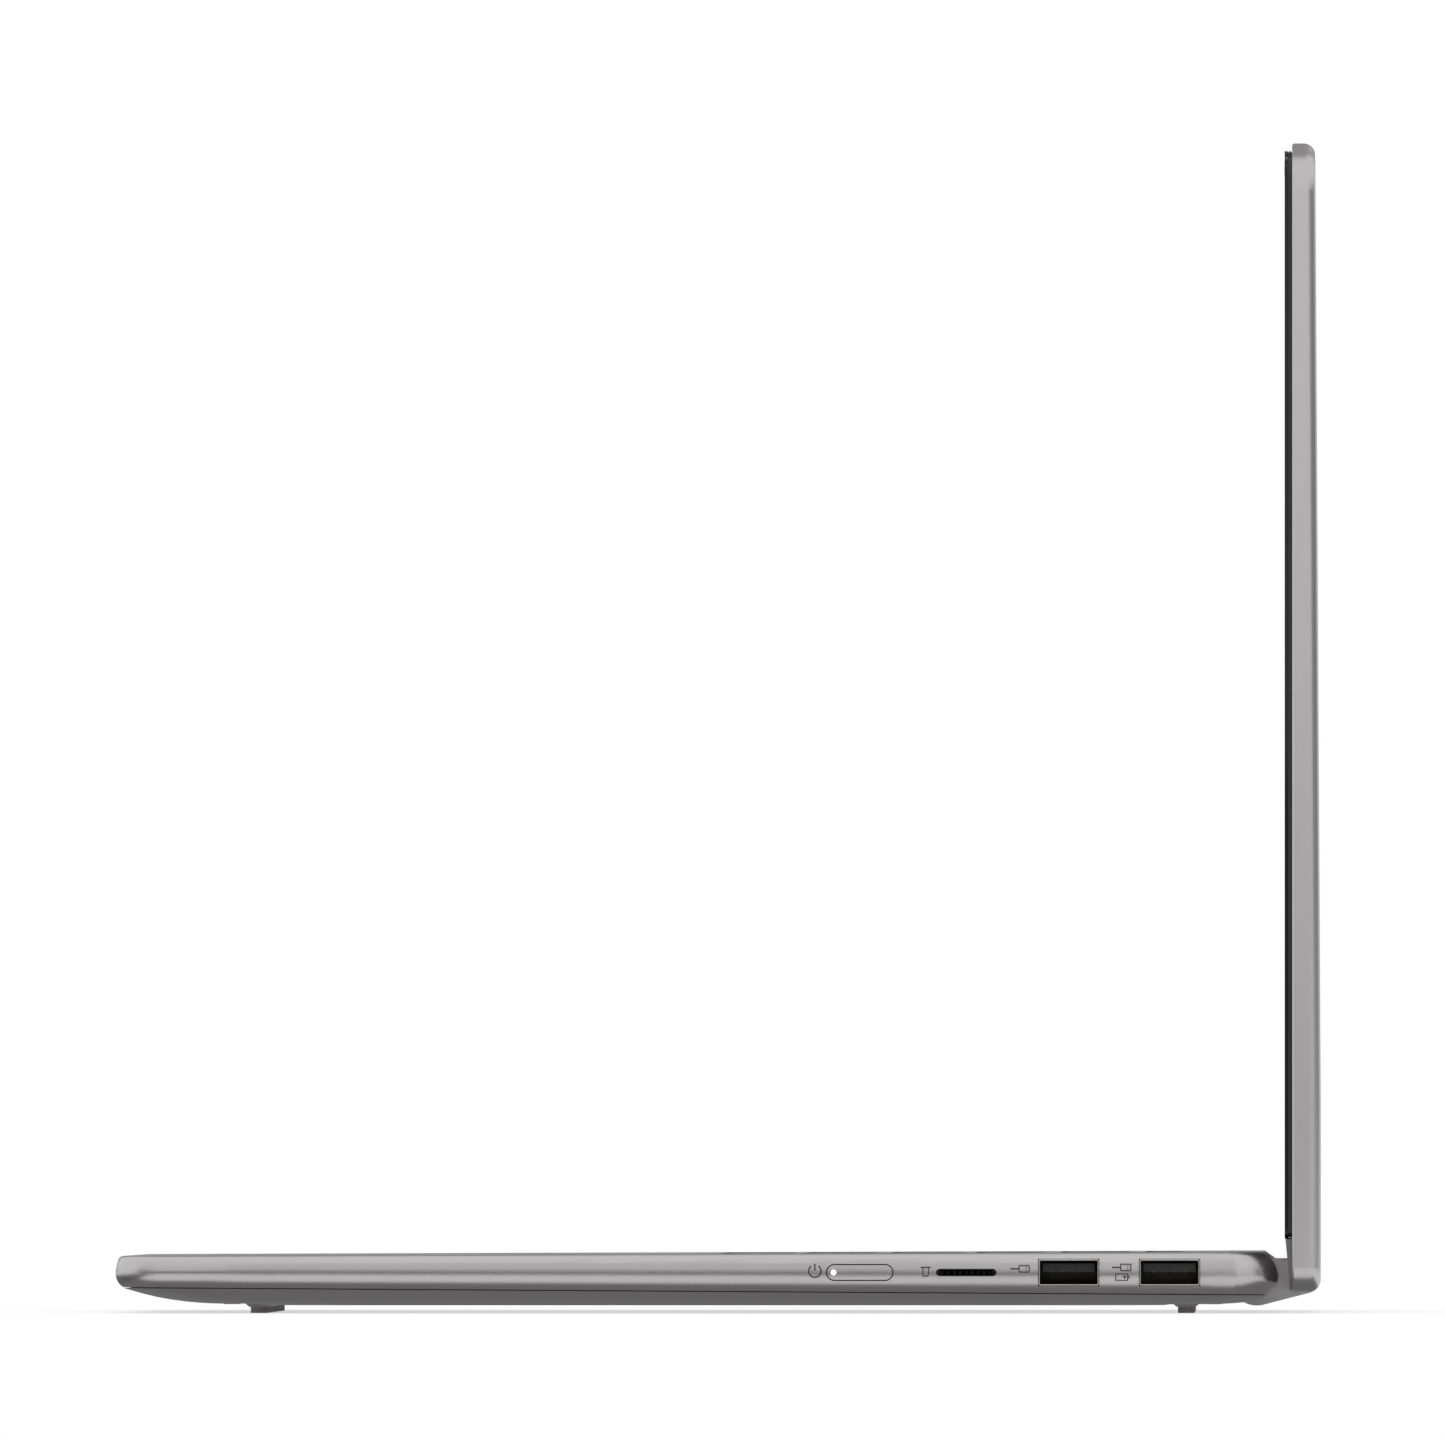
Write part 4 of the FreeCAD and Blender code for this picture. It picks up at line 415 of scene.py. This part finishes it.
def arc(centre, radius, start, stop, count=40):  # degrees, from the right hand, counter-clockwise
    angle = np.radians(np.linspace(start, stop, count))
    return np.array(centre) + radius * np.stack([np.cos(angle), np.sin(angle)], -1)


# Drops a flat mark along an axis on to a node's skin, a hair above it
def layOn(piece, node, axis, gap):
    wrap = piece.modifiers.new("lay", "SHRINKWRAP")
    wrap.target = nodes[node]
    wrap.wrap_method = "PROJECT"
    setattr(wrap, "use_project_" + axis, True)
    wrap.use_negative_direction, wrap.use_positive_direction = True, False
    wrap.offset = gap * mm
    bpy.context.view_layer.update()
    graph = bpy.context.evaluated_depsgraph_get()
    laid = bpy.data.meshes.new_from_object(piece.evaluated_get(graph))
    piece.modifiers.clear()
    piece.data = laid


# Marks beside the sockets, drawn looking at the right-hand wall: along is y and up is z,
# in millimetres. The shares are of the stroke's width, for the thinner lines.
sideMarks = {"stroke": 0.33, "thin": 0.7, "fine": 0.8, "gap": 0.012, "wall": 182.0,
             "power": (21.1, 9.2), "powerRadius": 1.35, "powerArc": (125, 415), "card": (45.2, 9.1),
             "plugs": [(65.8, 9.7), (87.9, 10.0)], "holeStep": 0.06, "battery": (88.0, 7.9)}
stroke = sideMarks["stroke"]
thin, fine = stroke * sideMarks["thin"], stroke * sideMarks["fine"]


def powerMark(place, radius):  # a ring that is open at the top, and a bar in the opening
    bar = evenly([(place[0], place[1] + 0.1), (place[0], place[1] + radius * 1.2)])
    return [ribbon(arc(place, radius, *sideMarks["powerArc"]), stroke), ribbon(bar, stroke)]


def cardMark(place):  # a slot's line with a card hanging from it, one corner cut
    y, z = place
    slot = [(y - 1.1, z + 0.9), (y + 1.1, z + 0.9)]
    card = [(y - 0.62, z + 0.75), (y - 0.62, z - 1.0), (y + 0.35, z - 1.0), (y + 0.62, z - 0.7),
            (y + 0.62, z + 0.75)]
    return [ribbon(evenly(slot), stroke), ribbon(evenly(card), thin)]


def plugMark(place):  # a plain plug: its body, two holes and a tail of lead
    y, z = place
    body = [(y - 0.3, z - 0.7), (y + 1.9, z - 0.7), (y + 1.9, z + 0.7), (y - 0.3, z + 0.7)]
    tail = evenly([(y - 2.2, z), (y - 0.3, z)])
    holes = [evenly([(y + 1.25, z + side * 0.3 - 0.12), (y + 1.25, z + side * 0.3 + 0.12)],
                    sideMarks["holeStep"]) for side in (-1, 1)]
    outline = ribbon(evenly(body, closed=True), fine, closed=True)
    return [outline, ribbon(tail, stroke)] + [ribbon(hole, stroke) for hole in holes]


def batteryMark(place):  # a cell's outline with its end cap, and a plus inside
    y, z = place
    case = [(y - 1.5, z - 0.7), (y + 1.1, z - 0.7), (y + 1.1, z + 0.7), (y - 1.5, z + 0.7)]
    cap = evenly([(y + 1.4, z - 0.35), (y + 1.4, z + 0.35)])
    level = evenly([(y + 0.05, z), (y + 0.85, z)])
    upright = evenly([(y + 0.45, z - 0.4), (y + 0.45, z + 0.4)])
    outline = ribbon(evenly(case, closed=True), thin, closed=True)
    return [outline] + [ribbon(line, fine) for line in (cap, level, upright)]


def standOnWall(strokes, wall):  # (y, z) strokes as points out at a plane beside the wall
    return [(np.column_stack([np.full(len(flat), wall), flat]) * mm, faces)
            for flat, faces in strokes]


strokes = powerMark(sideMarks["power"], sideMarks["powerRadius"]) + cardMark(sideMarks["card"])
strokes += [one for place in sideMarks["plugs"] for one in plugMark(place)]
strokes += batteryMark(sideMarks["battery"])
marks = surfacePiece("side_marks", standOnWall(strokes, sideMarks["wall"]), markInk, "base")
layOn(marks, "top_case", "x", sideMarks["gap"])
print("side marks:", len(marks.data.polygons), "faces")


# Key legends, one mesh for each row: the keys' widths in key units, and a word for each.
# An arrow is the column of its key, its quarter turns and its share of the row's depth.
keyLegends = {"half": 142.5, "unit": 19.0, "letter": 3.6, "word": 2.3, "curveSteps": 3,
              "gap": 0.012, "lift": 4.0, "arrow": 0.9, "arrowCorners": (0, 130, 230),
              "arrowRow": "keys_space_row",
              "arrows": ((12, 2, 0.25), (13, 1, 0.75), (13, 3, 0.25), (14, 0, 0.25))}
legendRows = {
    "keys_function_row": ([15 / 16] * 16,
                          ["Esc"] + [f"F{i}" for i in range(1, 13)] + ["Ins", "Prt", "Del"]),
    "keys_number_row": ([1] * 13 + [2], list("`1234567890-=") + ["Backspace"]),
    "keys_upper_row": ([1.5] + [1] * 12 + [1.5], ["Tab"] + list("QWERTYUIOP[]") + ["\\"]),
    "keys_home_row": ([1.75] + [1] * 11 + [2.25], ["Caps"] + list("ASDFGHJKL;'") + ["Enter"]),
    "keys_lower_row": ([2.25] + [1] * 10 + [2.75], ["Shift"] + list("ZXCVBNM,./") + ["Shift"]),
    "keys_space_row": ([1.25, 1, 1, 1.25, 5.5, 1, 1], ["Ctrl", "Fn", "", "Alt", "", "Alt", "Ctrl"]),
}


def wordShape(text, height):  # a word's filled outline round the origin, as points and triangles
    curve = bpy.data.curves.new("word", "FONT")
    curve.body, curve.size, curve.resolution_u = text, height * mm, keyLegends["curveSteps"]
    curve.align_x, curve.align_y = "CENTER", "CENTER"
    carrier = bpy.data.objects.new("word", curve)
    mesh = bpy.data.meshes.new_from_object(carrier)
    mesh.calc_loop_triangles()
    points = np.zeros(len(mesh.vertices) * 3)
    mesh.vertices.foreach_get("co", points)
    triangles = np.zeros(len(mesh.loop_triangles) * 3, np.int64)
    mesh.loop_triangles.foreach_get("vertices", triangles)
    bpy.data.objects.remove(carrier)
    bpy.data.curves.remove(curve)
    bpy.data.meshes.remove(mesh)
    return points.reshape(-1, 3), triangles.reshape(-1, 3)


def arrowShape(turn, size):  # a small triangle whose tip points right, turned by quarter turns
    angle = math.pi / 2 * turn + np.radians(keyLegends["arrowCorners"])
    corners = np.column_stack([np.cos(angle), np.sin(angle), 0 * angle])
    return corners * size * mm, np.array([[0, 1, 2]])


def rowLegends(node, units, words):
    low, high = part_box(node)
    level = high.z + keyLegends["lift"] * mm
    edges = np.cumsum([0] + units) * keyLegends["unit"] - keyLegends["half"]
    parts = []
    for x, word in zip((edges[:-1] + edges[1:]) / 2, words):
        if word:
            points, triangles = wordShape(word, keyLegends["letter" if len(word) == 1 else "word"])
            parts.append((points + np.array([x * mm, (low.y + high.y) / 2, level]), triangles))
    for column, turn, share in keyLegends["arrows"] if node == keyLegends["arrowRow"] else ():
        points, triangles = arrowShape(turn, keyLegends["arrow"])
        x = ((column + 0.5) * keyLegends["unit"] - keyLegends["half"]) * mm
        parts.append((points + np.array([x, low.y + (high.y - low.y) * share, level]), triangles))
    return parts


for node, (units, words) in legendRows.items():
    legend = surfacePiece(node.replace("keys_", "legends_"), rowLegends(node, units, words),
                          legendPaint, node)
    layOn(legend, node, "z", keyLegends["gap"])
    print("legends:", node, len(legend.data.polygons), "faces")


# A rounded rectangle, as the points of its four corner arcs and the way out at each point
def roundedRectangle(halfWidth, halfRise, corner, count=7):
    quarters = [np.linspace(start, start + 90, count) for start in (0, 90, 180, 270)]
    angle = np.radians(np.append(np.concatenate(quarters), 360.0))
    out = np.stack([np.cos(angle), np.sin(angle)], -1)
    turn = np.concatenate([np.repeat([[1, 1], [-1, 1], [-1, -1], [1, -1]], count, 0), [[1, 1]]])
    return turn * np.array([halfWidth - corner, halfRise - corner]) + corner * out, out


# A lip carries a small circle round a mouth's outline: out of the outline by its cosine, along x by
# its sine.
def mouthLip(x, y, z, halfWidth, halfRise, corner, radius, columns=10):
    path, out = roundedRectangle(halfWidth, halfRise, corner)
    turn = np.linspace(0, -2 * math.pi, columns, endpoint=False)
    flat = path[:, None, :] + radius * np.cos(turn)[None, :, None] * out[:, None, :]
    level = np.broadcast_to(radius * np.sin(turn), flat.shape[:2])
    points = np.concatenate([level[..., None] + x, flat + np.array([y, z])], -1).reshape(-1, 3)
    return points * mm, gridFaces(len(path), columns, wrap=True)


# Mouths of the sockets, right side 1 and left side -1: a bright rolled lip round each one
socketMouths = {
    "usbA": {"side": 1, "ys": (76.28, 98.21), "half": (6.42, 2.72), "corner": 0.3},
    "usbC": {"side": -1, "ys": (43.71, 61.71), "half": (4.35, 1.47), "corner": 1.4},
    "hdmi": {"side": -1, "ys": (81.71,), "half": (7.1, 2.6), "corner": 0.6},
    "jack": {"side": -1, "ys": (25.71,), "half": (1.86, 1.86), "corner": 1.85},
}
socketLips = {"height": 8.9, "face": 179.62, "radius": 0.16}
socketHeight = socketLips["height"]
lips = [mouthLip(mouth["side"] * socketLips["face"], y, socketHeight, *mouth["half"],
                 mouth["corner"], socketLips["radius"])
        for mouth in socketMouths.values() for y in mouth["ys"]]
surfacePiece("socket_lips", lips, socketSteel, "base")

# Painted shade round the power button: a black ring of round section, in the gap between button and
# case
buttonGapShade = {"x": 179.2, "y": 30.87, "half": (7.225, 1.725), "corner": 1.715, "radius": 0.1}
gapShadeRing = mouthLip(buttonGapShade["x"], buttonGapShade["y"], socketHeight, *buttonGapShade["half"],
                buttonGapShade["corner"], buttonGapShade["radius"])
surfacePiece("button_gap_shade", [gapShadeRing], socketPlastic, "base")

# Contacts of the sockets: rows of small gilt bars laid on the tongues
contactRows = {
    "usb_a": {"half": (2.9, 0.5, 0.06), "x": 174.4, "ys": socketMouths["usbA"]["ys"],
              "heights": (9.02,), "count": 4, "step": 2.4, "power": 0.3},
    "usb_c": {"half": (1.7, 0.13, 0.05), "x": -176.7, "ys": socketMouths["usbC"]["ys"],
              "heights": (8.54, 9.26), "count": 12, "step": 0.5, "power": 0.3},
    "hdmi": {"half": (2.2, 0.22, 0.05), "x": -176.2, "ys": socketMouths["hdmi"]["ys"],
             "heights": (8.54, 9.86), "count": 10, "step": 1.0, "power": 0.3},
}


def spacedOut(row):  # the places of a row's bars, a step apart and even about its middle
    return (np.arange(row["count"]) - (row["count"] - 1) / 2) * row["step"]


for name, row in contactRows.items():
    bars = [roundedBar((row["x"], y + offset, z), row["half"], row["power"])
            for y in row["ys"] for z in row["heights"] for offset in spacedOut(row)]
    surfacePiece(name + "_contacts", bars, contactGold, "base")

# Ribs in the card slot's throat, which guide the card
cardRibs = {"x": 176.6, "y": 54.01, "half": (0.9, 0.22, 0.5), "count": 9, "step": 1.3, "power": 0.4}
ribs = [roundedBar((cardRibs["x"], cardRibs["y"] + offset, socketHeight), cardRibs["half"],
                   cardRibs["power"]) for offset in spacedOut(cardRibs)]
surfacePiece("card_slot_ribs", ribs, socketPlastic, "base")
print("sockets:", len(lips), "lips,", len(contactRows), "rows of contacts and", len(ribs), "ribs")

# Screws under the base: a pan head with a six-lobed socket, and its shank with turned threads.
# The head's profile is (radius, height above its underside, lobing), from the socket's floor out.
coverScrews = {"spots": [(0, -9.39), (-150, -106.09), (150, -106.09), (-168, -23.39), (168, -23.39),
                         (-160, 107.71), (160, 107.71)],
               "head": [(0.0, 0.38, 0), (0.855, 0.36, 0.13), (0.95, 0.04, 0.13), (1.03, 0.0, 0.1),
                        (1.8, 0.02, 0), (1.97, 0.14, 0), (2.0, 0.3, 0), (2.0, 0.55, 0),
                        (0.9, 0.55, 0)],
               "shank": 0.9, "point": 0.7, "threadDepth": 0.12, "threadStep": 0.2,
               "threadStart": 0.8, "threadStop": 0.2}
screwLow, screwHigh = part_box("bottom_screws")
headLow, tip = screwLow.z / mm, screwHigh.z / mm
threadHeights = np.arange(headLow + coverScrews["threadStart"], tip - coverScrews["threadStop"],
                          coverScrews["threadStep"])
screwProfile = [(radius, headLow + rise, lobing) for radius, rise, lobing in coverScrews["head"]]
screwProfile += [(coverScrews["shank"] - coverScrews["threadDepth"] * (i % 2), float(z), 0)
                 for i, z in enumerate(threadHeights)]
screwProfile += [(coverScrews["point"], tip, 0), (0.0, tip, 0)]
screwForms = [turnedForm(screwProfile, (x, y, 0), "z") for x, y in coverScrews["spots"]]
screws = surfacePiece("cover_screws", screwForms, socketSteel, "base")
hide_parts("bottom_screws")
print("screws:", len(coverScrews["spots"]))


# The camera behind the glass: a domed lens in its black ring, and the dots of two microphones.
# Heights are out from the glass: the edge of the dome, the rim round it, and the back, sunk in.
cameraWindow = {"front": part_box("screen_glass")[0].y / mm, "z": 251.5, "lens": 1.6, "dome": 0.05,
                "ring": 0.25, "dots": (-12.0, 12.0), "dot": 0.6, "dotRing": 0.1, "rows": 9,
                "edge": 0.01, "rim": 0.03, "back": -0.02, "rimShares": (0.3, 0.8)}


# A dome: its rise shrinks with the square of the way out, then a rim falls back into the glass
def window(x, radius, rise, ring):
    front, back = cameraWindow["front"], cameraWindow["front"] - cameraWindow["back"]
    dome = [(radius * share, front - cameraWindow["edge"] - rise * (1 - share ** 2), 0)
            for share in np.linspace(0, 1, cameraWindow["rows"])]
    rim = [(radius + ring * share, front - cameraWindow["rim"], 0)
           for share in cameraWindow["rimShares"]]
    return turnedForm(dome + rim + [(radius + ring, back, 0), (0.0, back, 0)],
                      (x, 0, cameraWindow["z"]), "y")


windows = [window(0, cameraWindow["lens"], cameraWindow["dome"], cameraWindow["ring"])]
windows += [window(x, cameraWindow["dot"], 0.0, cameraWindow["dotRing"])
            for x in cameraWindow["dots"]]
surfacePiece("camera_window", windows, lensAcrylic, "lid")
print("camera:", len(windows), "windows")

# The stage: a pale floor, a softbox overhead, and glowing sheets that only reflections see.
# The floor is paper with its share of white out to the first fade distance, and plain white from
# the second on. Both are metres from the middle along y; the oval makes them longer along x.
studio = {"floorReach": 3.0, "floorTones": ("#F2F2F2", "#F6F6F6"), "floorFibre": 4.0,
          "fibreDetail": 3.0, "floorWhite": 0.62, "floorFade": (0.12, 0.18), "floorOval": 0.3,
          "fill": 0.7, "softboxSize": 3.0, "softboxPlace": (2.0, -0.1, 2.0), "softboxPower": 45.0}


# A flat plate: a corner plus shares of two edges; it faces the way of the second edge x the first
def stagePlate(name, corner, first, second, finish, count=12):
    u, v = np.meshgrid(np.linspace(0, 1, count), np.linspace(0, 1, count), indexing="ij")
    points = np.array(corner) + u[..., None] * np.array(first) + v[..., None] * np.array(second)
    mesh = bpy.data.meshes.new(name)
    mesh.from_pydata(points.reshape(-1, 3).tolist(), [], gridFaces(count, count).tolist())
    mesh.materials.append(finish)
    plate = bpy.data.objects.new(name, mesh)
    scene.collection.objects.link(plate)
    return plate


# 1 for the rays that see the background: the camera's, mirrored and passed through
def seenRays(tree):
    rays = addNode(tree, "ShaderNodeLightPath").outputs
    mirrored = addNode(tree, "ShaderNodeMath", {0: rays["Is Camera Ray"], 1: rays["Is Glossy Ray"]},
                       operation="MAXIMUM")
    return addNode(tree, "ShaderNodeMath", {0: mirrored.outputs[0], 1: rays["Is Transmission Ray"]},
                   operation="MAXIMUM").outputs[0]


# Seamless paper: for the rays that see it, a share of plain white is mixed in. The share is small
# enough near the object to keep its shadow, and grows to the whole farther out. The paper is clear
# from below, to show the underside.
def paperFinish(name):
    material, tree = emptyMaterial(name)
    place = addNode(tree, "ShaderNodeTexCoord").outputs["Object"]
    fibres = addNode(tree, "ShaderNodeTexNoise", {"Vector": place,
                                                  "Scale": 1 / (studio["floorFibre"] * mm),
                                                  "Detail": studio["fibreDetail"]})
    tones = [toLinear(tone) for tone in studio["floorTones"]]
    tone = addNode(tree, "ShaderNodeMix", {0: fibres.outputs["Fac"], 6: tones[0], 7: tones[1]},
                   data_type="RGBA")
    paper = addNode(tree, "ShaderNodeBsdfDiffuse", {"Color": tone.outputs[2]})
    oval = addNode(tree, "ShaderNodeMapping", {"Vector": place,
                                               "Scale": (studio["floorOval"], 1, 1)})
    away = addNode(tree, "ShaderNodeVectorMath", {0: oval.outputs["Vector"]}, operation="LENGTH")
    fade = addNode(tree, "ShaderNodeMapRange", {"Value": away.outputs["Value"],
                                                "From Min": studio["floorFade"][0],
                                                "From Max": studio["floorFade"][1],
                                                "To Min": studio["floorWhite"]},
                   interpolation_type="SMOOTHSTEP")
    share = addNode(tree, "ShaderNodeMath", {0: fade.outputs["Result"], 1: seenRays(tree)},
                    operation="MULTIPLY")
    white = addNode(tree, "ShaderNodeEmission", {"Strength": 1.0})
    lit = addNode(tree, "ShaderNodeMixShader", {0: share.outputs[0], 1: paper.outputs[0],
                                                2: white.outputs[0]})
    below = addNode(tree, "ShaderNodeNewGeometry").outputs["Backfacing"]
    clear = addNode(tree, "ShaderNodeBsdfTransparent")
    sides = addNode(tree, "ShaderNodeMixShader", {0: below, 1: lit.outputs[0], 2: clear.outputs[0]})
    addNode(tree, "ShaderNodeOutputMaterial", {"Surface": sides.outputs[0]})
    return material


reach = studio["floorReach"]
stagePlate("floor", (-reach, -reach, 0), (0, 2 * reach, 0), (2 * reach, 0, 0),
           paperFinish("paperSeamlessMatte"))
# Painted reflections: each flag is a sheet of one even glow, from none to white's, that only
# reflections see;
# it lights nothing and casts no shadow. A flag is its glow, a corner and its two edges, in metres.
flags = {
    "flag_near": (0.0, (0.30, -0.32, 0.0), (0, 0.43, 0), (0, 0, 0.040)),
    "flag_mid": (0.52, (0.70, -0.7, 0.0), (0, 1.4, 0), (0, 0, 0.12)),
    "flag_far": (0.4, (-0.5, -0.5, 0.0), (0, 1.0, 0), (0, 0, 2.4)),
    "flag_rear": (0.2, (-0.25, 0.9, 0.0), (1.05, 0, 0), (0, 0, 0.35)),
    "flag_front": (0.15, (-0.2, -0.195, 0.0002), (0.44, 0, 0), (0, 0.058, 0)),
    # flag_under is a painted reflection: a glowing sheet under the base, where there is only shade
    "flag_under": (0.22, (-0.186, -0.137, 0.0002), (0.372, 0, 0), (0, 0.274, 0)),
}
for name, (glow, corner, first, second) in flags.items():
    finish = grainedFinish("paintedReflection" + name.title().replace("_", ""), ("#050505", "#080808"),
                           cloud=40, grain=2, roughness=(0.9, 1.0), lift=0.05,
                           Specular_IOR_Level=0.0, Emission_Color=toLinear("#FFFFFF"),
                           Emission_Strength=glow)
    flag = stagePlate(name, corner, first, second, finish)
    flag.visible_camera = flag.visible_diffuse = False
    flag.visible_shadow = flag.visible_transmission = False

world = bpy.data.worlds.new("studioWorld")
scene.world = world
world.use_nodes = True
sky = world.node_tree
sky.nodes.clear()
white, fill = (addNode(sky, "ShaderNodeBackground", {"Color": toLinear("#FFFFFF"),
                                                     "Strength": glow})
               for glow in (1.0, studio["fill"]))
both = addNode(sky, "ShaderNodeMixShader", {0: seenRays(sky), 1: fill.outputs[0],
                                            2: white.outputs[0]})
addNode(sky, "ShaderNodeOutputWorld", {"Surface": both.outputs[0]})

lamp = bpy.data.lights.new("softbox", "AREA")
lamp.shape, lamp.size, lamp.energy = "SQUARE", studio["softboxSize"], studio["softboxPower"]
softbox = bpy.data.objects.new("softbox", lamp)
scene.collection.objects.link(softbox)
softbox.location = studio["softboxPlace"]
softbox.visible_glossy = False  # the white behind it is what the metal shows
softbox.rotation_euler = (Vector((0, 0, 0)) - softbox.location).to_track_quat("-Z", "Y").to_euler()
print("stage: floor,", len(flags), "flags and a softbox")

# The camera stands far off on the right, a little above the deck and in line with the screen's face
cameraSetup = {"distance": 14.8, "side": 0.18, "eye": (0.12324, 0.030), "aim": (0.00103, 0.1289),
               "frameWidth": 0.31413, "sensor": 36.0, "clip": (0.1, 100.0)}
lens = bpy.data.cameras.new("camera")
lens.sensor_width = cameraSetup["sensor"]
lens.lens = cameraSetup["sensor"] * cameraSetup["distance"] / cameraSetup["frameWidth"]
lens.clip_start, lens.clip_end = cameraSetup["clip"]
viewer = bpy.data.objects.new("camera", lens)
scene.collection.objects.link(viewer)
eye = Vector((cameraSetup["side"] + cameraSetup["distance"], *cameraSetup["eye"]))
aim = Vector((cameraSetup["side"], *cameraSetup["aim"]))
viewer.location = eye
viewer.rotation_euler = (aim - eye).to_track_quat("-Z", "Y").to_euler()
scene.camera = viewer

scene.view_settings.view_transform = "Standard"
